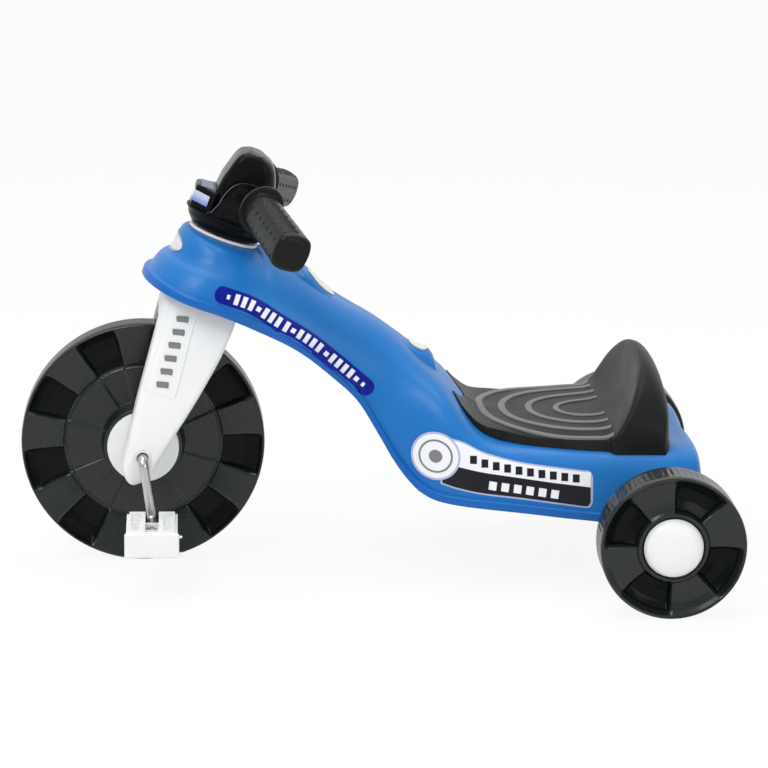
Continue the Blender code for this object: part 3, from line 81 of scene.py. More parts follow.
# Frames that the pieces are drawn in
DATUM = Matrix.Translation((DATUM_X, 0, 0))
TILT = Matrix.Rotation(RAKE, 4, "Y")
STEERING = DATUM @ Matrix.Translation((HEAD_X, 0, HEAD_Z)) @ TILT
FRONT_AXLE = Matrix.Translation((DATUM_X, 0, FRONT_RADIUS))
OUTWARDS = {side: Matrix.Rotation(-side * math.pi / 2, 4, "X") for side in (LEFT, RIGHT)}


# Shading groups
def new_group(name, inputs, outputs):
    tree = bpy.data.node_groups.new(name, "ShaderNodeTree")
    for way, labels in (("INPUT", inputs), ("OUTPUT", outputs)):
        for label in labels:
            tree.interface.new_socket(name=label, in_out=way, socket_type="NodeSocketFloat")
    return tree, tree.nodes.new("NodeGroupInput"), tree.nodes.new("NodeGroupOutput")


def put(tree, socket, value):
    """Links another node's output to a socket, or sets its value."""
    if isinstance(value, bpy.types.NodeSocket):
        tree.links.new(value, socket)
    else:
        socket.default_value = value


def add(tree, kind, inputs=(), **settings):
    made = tree.nodes.new(kind)
    for key, value in settings.items():
        setattr(made, key, value)
    for key, value in dict(inputs).items():
        put(tree, made.inputs[key], value)
    return made


def sums(tree, operation, first, second):
    return add(tree, "ShaderNodeMath", {0: first, 1: second}, operation=operation).outputs[0]


def ranged(tree, value, low, high, to_low=0.0, to_high=1.0):
    made = add(tree, "ShaderNodeMapRange", {"Value": value, "From Min": low, "From Max": high,
                                            "To Min": to_low, "To Max": to_high})
    return made.outputs["Result"]


def moulded_skin():
    """Fine grain, slow unevenness of the wall, and the tone that goes with it."""
    tree, take, give = new_group(
        "moulded_skin",
        ("Grain Size", "Grain Depth", "Swell Size", "Swell Depth", "Tone Range"),
        ("Height", "Tone", "Polish"))
    place = add(tree, "ShaderNodeTexCoord").outputs["Object"]
    grain_scale = sums(tree, "DIVIDE", 1.0, take.outputs["Grain Size"])
    swell_scale = sums(tree, "DIVIDE", 1.0, take.outputs["Swell Size"])
    grain = add(tree, "ShaderNodeTexNoise", {"Vector": place, "Scale": grain_scale, "Detail": 2.0})
    swell = add(tree, "ShaderNodeTexNoise", {"Vector": place, "Scale": swell_scale, "Detail": 2.5})
    rise = sums(tree, "MULTIPLY", grain.outputs["Fac"], take.outputs["Grain Depth"])
    slow = sums(tree, "MULTIPLY", swell.outputs["Fac"], take.outputs["Swell Depth"])
    tree.links.new(sums(tree, "ADD", rise, slow), give.inputs["Height"])
    centred = sums(tree, "SUBTRACT", swell.outputs["Fac"], 0.5)
    spread = sums(tree, "MULTIPLY", centred, take.outputs["Tone Range"])
    spread = sums(tree, "MULTIPLY", spread, 2.0)
    tree.links.new(sums(tree, "ADD", spread, 1.0), give.inputs["Tone"])
    blotch = sums(tree, "MULTIPLY", swell.outputs["Fac"], 0.6)
    fine = sums(tree, "MULTIPLY", grain.outputs["Fac"], 0.4)
    tree.links.new(ranged(tree, sums(tree, "ADD", blotch, fine), 0.3, 0.7, -1.0, 1.0),
                   give.inputs["Polish"])
    return tree


def worn_and_highlit_edges():
    """A mask along outer edges, broken up as handling leaves it. The colour laid along it is wear,
    and painted highlight on the edges.
    """
    tree, take, give = new_group("worn_and_highlit_edges", ("Amount", "Patch Size"), ("Mask",))
    place = add(tree, "ShaderNodeTexCoord").outputs["Object"]
    point = add(tree, "ShaderNodeNewGeometry").outputs["Pointiness"]
    edge = ranged(tree, point, 0.515, 0.60)
    scale = sums(tree, "DIVIDE", 1.0, take.outputs["Patch Size"])
    patch = add(tree, "ShaderNodeTexNoise", {"Vector": place, "Scale": scale, "Detail": 3.0})
    broken = ranged(tree, patch.outputs["Fac"], 0.38, 0.62)
    mask = sums(tree, "MULTIPLY", edge, broken)
    tree.links.new(sums(tree, "MULTIPLY", mask, take.outputs["Amount"]), give.inputs["Mask"])
    return tree


def fine_scuffs():
    """Short rubbed streaks that lie along one direction of the piece."""
    tree, take, give = new_group("fine_scuffs", ("Length", "Width", "Amount"), ("Mask",))
    place = add(tree, "ShaderNodeTexCoord").outputs["Object"]
    parts = add(tree, "ShaderNodeSeparateXYZ", {"Vector": place})
    along = sums(tree, "DIVIDE", parts.outputs["X"], take.outputs["Length"])
    across_y = sums(tree, "DIVIDE", parts.outputs["Y"], take.outputs["Width"])
    across_z = sums(tree, "DIVIDE", parts.outputs["Z"], take.outputs["Width"])
    squeezed = add(tree, "ShaderNodeCombineXYZ", {"X": along, "Y": across_y, "Z": across_z})
    streak = add(tree, "ShaderNodeTexNoise", {"Vector": squeezed.outputs[0], "Scale": 1.0,
                                              "Detail": 3.0, "Roughness": 0.6})
    mask = ranged(tree, streak.outputs["Fac"], 0.56, 0.74)
    tree.links.new(sums(tree, "MULTIPLY", mask, take.outputs["Amount"]), give.inputs["Mask"])
    return tree


SKIN = moulded_skin()
EDGE_WEAR_AND_HIGHLIGHT = worn_and_highlit_edges()
SCUFFS = fine_scuffs()


def use(tree, group, values):
    """A shading group in a material, with values in the order of its inputs."""
    made = add(tree, "ShaderNodeGroup", node_tree=group)
    for socket, value in zip(made.inputs, values):
        socket.default_value = value
    return made


def mixed(tree, share, first, second, blend="MIX"):
    """Two colours, each three numbers or another node's output, mixed by a share."""
    made = add(tree, "ShaderNodeMix", data_type="RGBA", blend_type=blend)
    put(tree, made.inputs["Factor"], share)
    for index, colour in ((6, first), (7, second)):
        put(tree, made.inputs[index], (*colour, 1.0) if isinstance(colour, tuple) else colour)
    return made.outputs[2]


def finish(name, colour, roughness, skin, metallic=0.0, coat=0.0, edge_wear_and_highlight=None, scuff=None,
           marked=None, polish=0.05, specular=0.5):
    """A material whose colour and roughness vary with its skin, lightened edges and scuffs. The
    lightened edges are wear and painted highlight.

    skin: grain size and depth, swell size and depth, tone range
    edge lightening, as wear and painted highlight: amount, patch size, colour; scuff: length,
    width, amount, colour
    marked: the vertex layer that picks a second colour, and that colour
    """
    made = bpy.data.materials.new(name)
    made.use_nodes = True
    tree = made.node_tree
    shader = tree.nodes["Principled BSDF"]
    shader.inputs["Metallic"].default_value = metallic
    shader.inputs["Specular IOR Level"].default_value = specular
    shader.inputs["Coat Weight"].default_value = coat
    shader.inputs["Coat Roughness"].default_value = 0.12
    surface = use(tree, SKIN, skin)
    shown = colour
    if marked is not None:
        layer, other = marked
        where = add(tree, "ShaderNodeAttribute", attribute_name=layer)
        shown = mixed(tree, where.outputs["Fac"], colour, other)
    tone = surface.outputs["Tone"]
    grey = add(tree, "ShaderNodeCombineColor", {0: tone, 1: tone, 2: tone})
    shown = mixed(tree, 1.0, shown, grey.outputs[0], "MULTIPLY")
    rough = ranged(tree, surface.outputs["Polish"], -1.0, 1.0, roughness - polish,
                   roughness + polish)
    if edge_wear_and_highlight is not None:
        # The edge colour lightens convex edges: wear, and a painted highlight.
        *mask_values, bare = edge_wear_and_highlight
        rubbed = use(tree, EDGE_WEAR_AND_HIGHLIGHT, mask_values)
        shown = mixed(tree, rubbed.outputs["Mask"], shown, bare)
    if scuff is not None:
        *mask_values, bare = scuff
        streaks = use(tree, SCUFFS, mask_values)
        shown = mixed(tree, streaks.outputs["Mask"], shown, bare)
        rough = sums(tree, "ADD", rough, sums(tree, "MULTIPLY", streaks.outputs["Mask"], 0.25))
    tree.links.new(shown, shader.inputs["Base Color"])
    tree.links.new(rough, shader.inputs["Roughness"])
    bump = add(tree, "ShaderNodeBump", {"Height": surface.outputs["Height"], "Distance": 1.0,
                                        "Strength": 1.0})
    tree.links.new(bump.outputs["Normal"], shader.inputs["Normal"])
    return made


# Each edge colour below lightens convex edges, as wear and as painted highlight. The lip band's
# darker, deeper blue is painted shade on the same blue plastic.
BLUE = finish("body_blue", (0.0085, 0.150, 0.450), 0.38, (0.0011, 0.000018, 0.045, 0.0005, 0.05),
              edge_wear_and_highlight=(0.20, 0.02, (0.05, 0.25, 0.58)), marked=("lip", (0.003, 0.108, 0.400)),
              polish=0.06, specular=0.28)
SEAT_BLACK = finish("seat_black", (0.0120, 0.0124, 0.0124), 0.40,
                    (0.0009, 0.00003, 0.03, 0.0003, 0.10), edge_wear_and_highlight=(0.25, 0.01, (0.06, 0.06, 0.06)),
                    scuff=(0.05, 0.0011, 0.16, (0.034, 0.035, 0.036)), specular=0.09)
# A light grey that paints highlights: the glare on the seat's raised ribs and the lit edge of the
# console's saddle.
PAINTED_HIGHLIGHT_GREY = finish("painted_highlight_grey", (0.105, 0.107, 0.108), 0.45,
                  (0.0009, 0.00002, 0.02, 0.0001, 0.12))
WHEEL_BLACK = finish("wheel_black", (0.0095, 0.0125, 0.0118), 0.27,
                     (0.0008, 0.000016, 0.028, 0.0005, 0.12),
                     edge_wear_and_highlight=(0.4, 0.012, (0.075, 0.082, 0.080)),
                     scuff=(0.02, 0.0015, 0.12, (0.034, 0.039, 0.038)), specular=0.42)
# A darker, duller copy of the wheel's black: painted shade for the sunk panels and the front
# wheel's rim and tread.
WHEEL_PAINTED_SHADE = finish("wheel_black_painted_shade", (0.0040, 0.0050, 0.0052), 0.22,
                    (0.0010, 0.000008, 0.028, 0.0006, 0.12),
                    edge_wear_and_highlight=(0.35, 0.012, (0.045, 0.050, 0.049)), specular=0.09)
# The console's lighter edge colour is a painted highlight along its edges, with some wear.
CONSOLE_BLACK = finish("console_black", (0.0060, 0.0064, 0.0072), 0.22,
                       (0.0012, 0.000008, 0.02, 0.00012, 0.08),
                       edge_wear_and_highlight=(0.20, 0.010, (0.026, 0.027, 0.030)), specular=0.06)
# The grip's lighter edge colour paints highlights on its raised dots and ribs, with some wear.
GRIP_VINYL = finish("grip_vinyl", (0.0085, 0.0100, 0.0094), 0.30,
                    (0.0006, 0.00004, 0.012, 0.00015, 0.15),
                    edge_wear_and_highlight=(0.55, 0.008, (0.060, 0.066, 0.063)), specular=0.12)
WHITE = finish("white_plastic", (0.80, 0.80, 0.79), 0.36, (0.0010, 0.000012, 0.03, 0.0002, 0.02),
               edge_wear_and_highlight=(0.25, 0.01, (0.86, 0.86, 0.86)),
               scuff=(0.02, 0.0012, 0.08, (0.62, 0.62, 0.60)))
ZINC = finish("zinc_steel", (0.56, 0.56, 0.55), 0.30, (0.0005, 0.000008, 0.006, 0.00003, 0.18),
              metallic=1.0, scuff=(0.0015, 0.02, 0.5, (0.34, 0.34, 0.33)), polish=0.10)
SILVER_FILM = finish("silver_film", (0.66, 0.69, 0.70), 0.30,
                     (0.0004, 0.000006, 0.01, 0.00005, 0.06),
                     metallic=0.35, marked=("border", (0.30, 0.31, 0.30)), polish=0.06)
LENS_SILVER = finish("lens_silver", (0.60, 0.67, 0.85), 0.16,
                     (0.0010, 0.000004, 0.008, 0.0001, 0.10),
                     metallic=0.45, coat=0.6, marked=("deep", (0.10, 0.13, 0.62)))


def film(name, colour):
    return finish(name, colour, 0.30, (0.0007, 0.000004, 0.02, 0.00006, 0.03), specular=0.18)


FILM_BLUE = film("film_dark_blue", (0.002, 0.008, 0.24))
PROW_FILM = film("film_steel_blue", (0.075, 0.115, 0.190))
FILM_WHITE = film("film_white", (0.80, 0.80, 0.82))
FILM_BLACK = film("film_black", (0.014, 0.014, 0.016))
FILM_LAVENDER = film("film_lavender", (0.42, 0.45, 0.66))
MARK_GREY = film("mark_grey", (0.20, 0.20, 0.20))


# Shaping
def eased_share(value):
    value = min(1.0, max(0.0, value))
    return value * value * (3 - 2 * value)


def hermite(t, start, leaving, end, arriving):
    """A cubic from start to end that leaves and arrives with the slopes given."""
    return (start * ((1 + 2 * t) * (1 - t) ** 2) + leaving * (t * (1 - t) ** 2)
            + end * (t * t * (3 - 2 * t)) + arriving * (t * t * (t - 1)))


def eased(rows, x):
    """Values of a smooth curve through (x, value, ...) rows, read at x."""
    if x <= rows[0][0]:
        return rows[0][1:]
    if x >= rows[-1][0]:
        return rows[-1][1:]
    k = next(i for i in range(len(rows) - 1) if rows[i][0] <= x <= rows[i + 1][0])
    span = rows[k + 1][0] - rows[k][0]
    values = []
    for column in range(1, len(rows[0])):
        y0, y1 = rows[k][column], rows[k + 1][column]
        slope = (y1 - y0) / span
        before = after = slope
        if k > 0:
            last = (y0 - rows[k - 1][column]) / (rows[k][0] - rows[k - 1][0])
            before = 0 if last * slope <= 0 else 2 * last * slope / (last + slope)
        if k < len(rows) - 2:
            coming = (rows[k + 2][column] - y1) / (rows[k + 2][0] - rows[k + 1][0])
            after = 0 if coming * slope <= 0 else 2 * coming * slope / (coming + slope)
        values.append(hermite((x - rows[k][0]) / span, y0, span * before, y1, span * after))
    return tuple(values)


def curve_through(points, steps):
    """A smooth line through points, with steps between each two."""
    made = []
    last = len(points) - 1
    for k in range(last):
        p1, p2 = points[k], points[k + 1]
        p0 = points[k - 1] if k > 0 else p1 + (p1 - p2)
        p3 = points[k + 2] if k + 2 <= last else p2 + (p2 - p1)
        d1, d2, d3 = [max(1e-5, (b - a).length ** 0.5) for a, b in ((p0, p1), (p1, p2), (p2, p3))]
        m1 = ((p1 - p0) / d1 - (p2 - p0) / (d1 + d2) + (p2 - p1) / d2) * d2
        m2 = ((p2 - p1) / d2 - (p3 - p1) / (d2 + d3) + (p3 - p2) / d3) * d2
        made += [hermite(i / steps, p1, m1, p2, m2) for i in range(steps)]
    made.append(points[-1])
    return made


def refined(rows, across, along):
    """A grid of points with smooth lines run through it both ways."""
    rows = [curve_through(row, along) for row in rows]
    columns = [curve_through(list(column), across) for column in zip(*rows)]
    return [list(row) for row in zip(*columns)]


def rounded(points, radius, steps=3, closed=False):
    """The same outline with its corners eased."""
    made = []
    count = len(points)
    for k, corner in enumerate(points):
        if not closed and k in (0, count - 1):
            made.append(corner)
            continue
        before = points[k - 1] - corner
        after = points[(k + 1) % count] - corner
        reach = min(radius, 0.45 * before.length, 0.45 * after.length)
        first = corner + before.normalized() * reach
        last = corner + after.normalized() * reach
        for i in range(steps + 1):
            t = i / steps
            made.append(first * (1 - t) ** 2 + corner * (2 * t * (1 - t)) + last * t * t)
    return made


def resampled(points, count, per_radian):
    """count points along a line, closer together where it bends."""
    spend = [0.0]
    for k in range(1, len(points)):
        step = points[k] - points[k - 1]
        cost = step.length
        if 1 < k and step.length > 1e-7 and (points[k - 1] - points[k - 2]).length > 1e-7:
            cost += per_radian * step.angle(points[k - 1] - points[k - 2], 0.0)
        spend.append(spend[-1] + cost)
    made = []
    k = 0
    for i in range(count):
        target = spend[-1] * i / (count - 1)
        while k < len(points) - 2 and spend[k + 1] < target:
            k += 1
        share = (target - spend[k]) / max(1e-12, spend[k + 1] - spend[k])
        made.append(points[k].lerp(points[k + 1], min(1.0, max(0.0, share))))
    return made


def grid_mesh(rows, closed_across=False, caps=False, closed_along=False):
    bm = bmesh.new()
    rings = [[bm.verts.new(point) for point in row] for row in rows]
    count = len(rings[0])
    for low, high in zip(rings, rings[1:] + rings[:1] if closed_along else rings[1:]):
        for i in range(count if closed_across else count - 1):
            j = (i + 1) % count
            bm.faces.new((low[i], low[j], high[j], high[i]))
    if caps:
        bm.faces.new(rings[0][::-1])
        bm.faces.new(rings[-1])
    return bm


def lathe(outline, steps=64):
    """A turned shape about Z. An outline that keeps off the axis is closed on itself."""
    bm = bmesh.new()
    rings = []
    for radius, z in outline:
        if radius < 1e-7:
            rings.append([bm.verts.new((0, 0, z))])
            continue
        rings.append([bm.verts.new((radius * math.cos(2 * math.pi * i / steps),
                                    radius * math.sin(2 * math.pi * i / steps), z))
                      for i in range(steps)])
    pairs = list(zip(rings, rings[1:]))
    if outline[0][0] > 1e-7:
        pairs.append((rings[-1], rings[0]))
    for low, high in pairs:
        for i in range(steps):
            j = (i + 1) % steps
            corners = list(dict.fromkeys((low[i % len(low)], low[j % len(low)],
                                          high[j % len(high)], high[i % len(high)])))
            if len(corners) > 2:
                bm.faces.new(corners)
    return bm


def turned_outline(rows, radius=0.0005, steps=2):
    points = [Vector(row) for row in rows]
    return [tuple(point) for point in rounded(points, radius, steps, rows[0][0] > 1e-7)]


def box_shape(size, centre=(0, 0, 0), edge=0.0, segments=2):
    bm = bmesh.new()
    bmesh.ops.create_cube(bm, size=1)
    bmesh.ops.scale(bm, vec=size, verts=bm.verts)
    bmesh.ops.translate(bm, vec=centre, verts=bm.verts)
    if edge:
        bmesh.ops.bevel(bm, geom=bm.edges, offset=edge, segments=segments, affect="EDGES")
    return bm


def rod_shape(radius, start, end, steps=40):
    """A plain rod between two points."""
    along = Vector(end) - Vector(start)
    bm = lathe([(0, along.length), (radius, along.length), (radius, 0), (0, 0)], steps)
    turn = Vector((0, 0, 1)).rotation_difference(along).to_matrix().to_4x4()
    bm.transform(Matrix.Translation(start) @ turn)
    return bm


def loose_object(name, bm, matrix, angle=35):
    bmesh.ops.recalc_face_normals(bm, faces=bm.faces)
    if all(edge.is_manifold for edge in bm.edges) and bm.calc_volume(signed=True) < 0:
        bmesh.ops.reverse_faces(bm, faces=bm.faces)
    mesh = bpy.data.meshes.new(name)
    bm.to_mesh(mesh)
    bm.free()
    mesh.shade_smooth()
    mesh.set_sharp_from_angle(angle=math.radians(angle))
    obj = bpy.data.objects.new(name, mesh)
    bpy.context.scene.collection.objects.link(obj)
    obj.matrix_world = matrix
    return obj


def add_other_half(obj):
    """A piece drawn on the left of the middle gets its mirror image."""
    mirror = obj.modifiers.new("other_half", "MIRROR")
    mirror.use_axis = (False, True, False)
    mirror.merge_threshold = 0.00002


def settle(obj, angle=35):
    """The object's modifiers become its mesh."""
    graph = bpy.context.evaluated_depsgraph_get()
    mesh = bpy.data.meshes.new_from_object(obj.evaluated_get(graph))
    obj.modifiers.clear()
    obj.data = mesh
    mesh.shade_smooth()
    mesh.set_sharp_from_angle(angle=math.radians(angle))


def carve(obj, bm, operation="DIFFERENCE", matrix=None):
    tool = loose_object("tool", bm, obj.matrix_world if matrix is None else matrix)
    bpy.context.view_layer.update()
    step = obj.modifiers.new("carve", "BOOLEAN")
    step.operation = operation
    step.object = tool
    step.solver = "EXACT"
    settle(obj)
    bpy.data.objects.remove(tool)


def soften(obj, width, segments, angle):
    step = obj.modifiers.new("soften", "BEVEL")
    step.width = width
    step.segments = segments
    step.limit_method = "ANGLE"
    step.angle_limit = math.radians(angle)
    step.harden_normals = False
    settle(obj)


def fit(obj, material, body, slot, *stands_for):
    """Gives a finished piece its material and its body, and hides the nodes it stands for."""
    obj.data.materials.clear()
    obj.data.materials.append(material)
    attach(obj, body)
    if stands_for:
        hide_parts(*stands_for)
    return obj


def piece(name, bm, matrix, material, body, slot, *stands_for, angle=35):
    return fit(loose_object(name, bm, matrix, angle), material, body, slot, *stands_for)


# Body shell: rim of the shell from the head back to the tail (x, half width, height)
RIM = (
    (0.059, 0.0880, 0.2804), (0.077, 0.0880, 0.2745), (0.113, 0.0855, 0.2590),
    (0.155, 0.0800, 0.2370), (0.195, 0.0760, 0.2052), (0.216, 0.0765, 0.1852),
    (0.240, 0.0820, 0.1474), (0.2525, 0.0880, 0.1265), (0.267, 0.0960, 0.1075),
    (0.281, 0.1040, 0.0950), (0.296, 0.1120, 0.0888), (0.316, 0.1190, 0.0857),
    (0.341, 0.1250, 0.0837), (0.383, 0.1310, 0.0805), (0.424, 0.1370, 0.0770),
    (0.460, 0.1430, 0.0745), (0.488, 0.1480, 0.0690), (0.502, 0.1510, 0.0560),
    (0.521, 0.1520, 0.0480), (0.540, 0.1500, 0.0560), (0.552, 0.1440, 0.0680),
)
# Top line behind the head (x, height)
TOP = (
    (0.112, 0.3310), (0.128, 0.3205), (0.155, 0.3040), (0.180, 0.2865), (0.205, 0.2715),
    (0.236, 0.2540), (0.262, 0.2350), (0.283, 0.2170), (0.302, 0.2020), (0.318, 0.1875),
    (0.330, 0.1725), (0.341, 0.1600), (0.353, 0.1510), (0.368, 0.1465), (0.385, DECK_Z),
    (0.520, DECK_Z), (0.535, 0.1430), (0.545, 0.1405),
)
# The wall round the head's front (share inwards, share upwards)
HEAD_WALL = ((0, 0), (0.10, 0.17), (0.22, 0.31), (0.44, 0.42), (0.49, 0.50),
             (0.555, 0.82), (0.62, 0.94), (0.77, 1.0), (1, 1))
# Section of the rim lip (inwards, upwards)
LIP = ((0.0004, 0), (0, 0.0006), (0, 0.0051), (0.0002, 0.0070), (0.0007, 0.0080),
       (0.0016, 0.0085), (0.0034, 0.0087), (0.0049, 0.0089))
LIP_BASE = (0.0055, 0.0089)
NOSE_LENGTH = 0.060
NOSE_HALF_WIDTH = 0.088
TAIL_X = 0.570
TAIL_Z = 0.066
HEAD_STATIONS = 40
NECK_STATIONS = 96
TAIL_STATIONS = 18
WALL_STEPS = 60
WALL_POINTS = 34
# Share of the head's half turn that the nose takes, how far the lip lies under the head there,
# and how far along the rim the rest of the head reaches
NOSE_SHARE = 0.55
NOSE_DROP = 0.067
HEAD_REACH = 0.056
# How far the top line runs ahead of the rim in the neck
TOP_LEAD = 0.022


def on_steering(x, y, z):
    return TILT @ Vector((x, y, z)) + Vector((HEAD_X, 0, HEAD_Z))


def round_wall(power, lean):
    """The wall from the lip to the top line (share inwards, share upwards) as a rounded corner."""
    rows = []
    for i in range(WALL_STEPS + 1):
        angle = math.pi / 2 * i / WALL_STEPS
        inwards = 1 - math.cos(angle) ** (2 / power) if i < WALL_STEPS else 1.0
        upwards = math.sin(angle) ** (2 / power)
        rows.append((lean * upwards * (1 - inwards) + inwards, upwards))
    return rows


def head_wall():
    rows = [(k, *pair) for k, pair in enumerate(HEAD_WALL)]
    return [eased(rows, (len(rows) - 1) * i / WALL_STEPS) for i in range(WALL_STEPS + 1)]


def body_stations():
    """Sections from the nose to the tail: rim point, top point, way up and wall."""
    stations = []
    steering_up = TILT @ Vector((0, 0, 1))
    hole = BUSH_RADIUS + GAP
    waisted = head_wall()
    plain = round_wall(2.5, 0.05)
    for i in range(HEAD_STATIONS + 1):
        share = i / HEAD_STATIONS
        turn = math.pi * share
        top = on_steering(-hole * math.cos(turn), -hole * math.sin(turn), HEAD_FACE)
        if share < NOSE_SHARE:
            angle = math.pi / 2 * share / NOSE_SHARE
            x = RIM[0][0] - NOSE_LENGTH * math.cos(angle)
            y = -NOSE_HALF_WIDTH * math.sin(angle)
            z = HEAD_Z + (-NOSE_DROP - (x - HEAD_X) * math.sin(RAKE)) / math.cos(RAKE)
        else:
            x = RIM[0][0] + (share - NOSE_SHARE) / (1 - NOSE_SHARE) * HEAD_REACH
            half_width, z = eased(RIM, x)
            y = -half_width
        softness = 0.5 - 0.5 * math.cos(turn)
        wall = [(a[0] * (1 - softness) + b[0] * softness, a[1] * (1 - softness) + b[1] * softness)
                for a, b in zip(waisted, plain)]
        stations.append((Vector((x, y, z)), top, steering_up, wall))
    first_rim_x, first_top_x = stations[-1][0].x, stations[-1][1].x
    rim_end, top_end = RIM[-1][0], TOP[-1][0] - 0.006
    for i in range(1, NECK_STATIONS + 1):
        share = i / NECK_STATIONS
        rim_x = first_rim_x + (rim_end - first_rim_x) * share
        lead = 0.5 - 0.5 * math.cos(2 * math.pi * min(1.0, share * 1.25))
        top_x = first_top_x + (top_end - first_top_x) * share + TOP_LEAD * lead
        half_width, rim_z = eased(RIM, rim_x)
        (top_z,) = eased(TOP, top_x)
        up = steering_up.lerp(Vector((0, 0, 1)), min(1.0, share * 2)).normalized()
        flat = eased_share((rim_x - 0.23) / 0.13)
        wall = round_wall(2.5 + 5.5 * flat, 0.05 + 0.03 * flat)
        stations.append((Vector((rim_x, -half_width, rim_z)), Vector((top_x, 0, top_z)), up, wall))
    corner = stations[-1][0]
    for i in range(1, TAIL_STATIONS + 1):
        share = i / TAIL_STATIONS
        angle = math.pi / 2 * share
        x = corner.x + (TAIL_X - corner.x) * math.sin(angle) ** 0.5
        y = corner.y * math.cos(angle) ** 0.5 if i < TAIL_STATIONS else 0.0
        z = corner.z + (TAIL_Z - corner.z) * share
        top_x = top_end + (TOP[-1][0] - top_end) * share
        (top_z,) = eased(TOP, top_x)
        stations.append((Vector((x, y, z)), Vector((top_x, 0, top_z)), Vector((0, 0, 1)),
                         round_wall(8 - 3 * share, 0.10)))
    return stations


def body_columns():
    """Points up the shell's skin at each station: the lip, then the wall to the top line."""
    columns = []
    for rim, top, up, wall in body_stations():
        inwards = Vector((top.x - rim.x, -rim.y, 0))
        if inwards.length > 1e-9:
            inwards.normalize()
        column = [rim + inwards * a + up * b for a, b in LIP]
        base = rim + inwards * LIP_BASE[0] + up * LIP_BASE[1]
        across = top - base
        rise = up * across.dot(up)
        level = across - rise
        line = [base + level * a + rise * b for a, b in wall]
        column += resampled(line, WALL_POINTS, 0.012)
        columns.append(column)
    for edge in (columns[0], columns[-1]):
        for point in edge:
            point.y = 0.0
    return columns


def make_body():
    columns = body_columns()
    bm = grid_mesh(columns)
    # The layer "lip" picks out the lip band for its painted shade, fading over two rows.
    lip = bm.verts.layers.float.new("lip")
    per_column = len(columns[0])
    for index, vert in enumerate(bm.verts):
        row = index % per_column
        vert[lip] = 1.0 if row < 5 else 0.5 if row < 7 else 0.0
        if abs(vert.co.y) < 1e-6:
            vert.co.y = 0.0
    bmesh.ops.remove_doubles(bm, verts=bm.verts, dist=1e-5)
    shell = loose_object("moulded_body", bm, DATUM)
    side_face = min(shell.data.polygons, key=lambda face: face.center.y)
    if side_face.normal.y > 0:
        shell.data.flip_normals()
    add_other_half(shell)
    wall = shell.modifiers.new("wall", "SOLIDIFY")
    wall.thickness = WALL
    wall.offset = -1
    settle(shell)
    fit(shell, BLUE, "frame", "blue_shell", "body_shell")
    return tree_of(shell)


def tree_of(obj):
    """The finished surface of a piece, in its own frame, for rays to find."""
    mesh = obj.data
    mesh.calc_loop_triangles()
    corners = [vert.co.copy() for vert in mesh.vertices]
    return BVHTree.FromPolygons(corners, [tuple(face.vertices) for face in mesh.loop_triangles])


BODY_TREE = make_body()
DOWN = Vector((0, 0, -1))
# Where rays from above start, and the least distance they keep from the seam down the middle
ABOVE_ALL = 0.5
OFF_MIDDLE = 0.0004


def height_over(tree, x, y, otherwise):
    """The surface's height at a place, the same on both sides of the middle."""
    place = tree.ray_cast(Vector((x, -max(abs(y), OFF_MIDDLE), ABOVE_ALL)), DOWN)[0]
    return place.z if place is not None else otherwise


def body_top(x, y):
    return height_over(BODY_TREE, x, y, DECK_Z)


def oval_grid(steps, across, power=2):
    """Places (u, v) over a disc or a fuller oval, in rows that lie closer at its ends."""
    rows = []
    for i in range(steps + 1):
        u = -math.cos(math.pi * i / steps)
        half = math.sqrt(max(0.0, 1 - abs(u) ** power))
        rows.append([(u, half * (-1 + 2 * j / across)) for j in range(across + 1)])
    return rows


def skin_patch(name, rays, lift, thickness, material, slot, tree=None, border=0, angle=60):
    """A thin sheet on the frame's skin. The rays, a grid of (origin, direction), find the skin.

    Rays on the right are cast as their mirror image on the left, so that both sides match.
    The layer "border" marks the outermost rows of points, border of them.
    """
    tree = tree or BODY_TREE
    tops, lows = [], []
    for row in rays:
        hits = []
        for origin, direction in row:
            flip = Vector((1, -1 if origin.y > 0 else 1, 1))
            place, normal, _, _ = tree.ray_cast(origin * flip, direction * flip)
            if place is None:
                raise ValueError(f"{name}: a ray misses the skin")
            if normal.dot(direction * flip) > 0:
                normal = -normal
            hits.append((place * flip, normal * flip))
        tops.append([place + normal * (lift + thickness) for place, normal in hits])
        lows.append([place + normal * lift for place, normal in hits])
    bm = bmesh.new()
    mark = bm.verts.layers.float.new("border")
    high, under = [[[bm.verts.new(point) for point in row] for row in rows]
                   for rows in (tops, lows)]
    wide, deep = len(high), len(high[0])
    if border:
        for i in range(wide):
            for j in range(deep):
                high[i][j][mark] = 1.0 if min(i, wide - 1 - i, j, deep - 1 - j) < border else 0.0
                under[i][j][mark] = 1.0
    for i in range(wide - 1):
        for j in range(deep - 1):
            bm.faces.new((high[i][j], high[i + 1][j], high[i + 1][j + 1], high[i][j + 1]))
            bm.faces.new((under[i][j], under[i][j + 1], under[i + 1][j + 1], under[i + 1][j]))
    loop = [(i, 0) for i in range(wide)] + [(wide - 1, j) for j in range(1, deep)]
    loop += [(i, deep - 1) for i in range(wide - 2, -1, -1)]
    loop += [(0, j) for j in range(deep - 2, 0, -1)]
    for (a, b), (c, d) in zip(loop, loop[1:] + loop[:1]):
        bm.faces.new((high[a][b], under[a][b], under[c][d], high[c][d]))
    bmesh.ops.remove_doubles(bm, verts=bm.verts, dist=2e-5)
    return piece(name, bm, DATUM, material, "frame", slot, angle=angle)


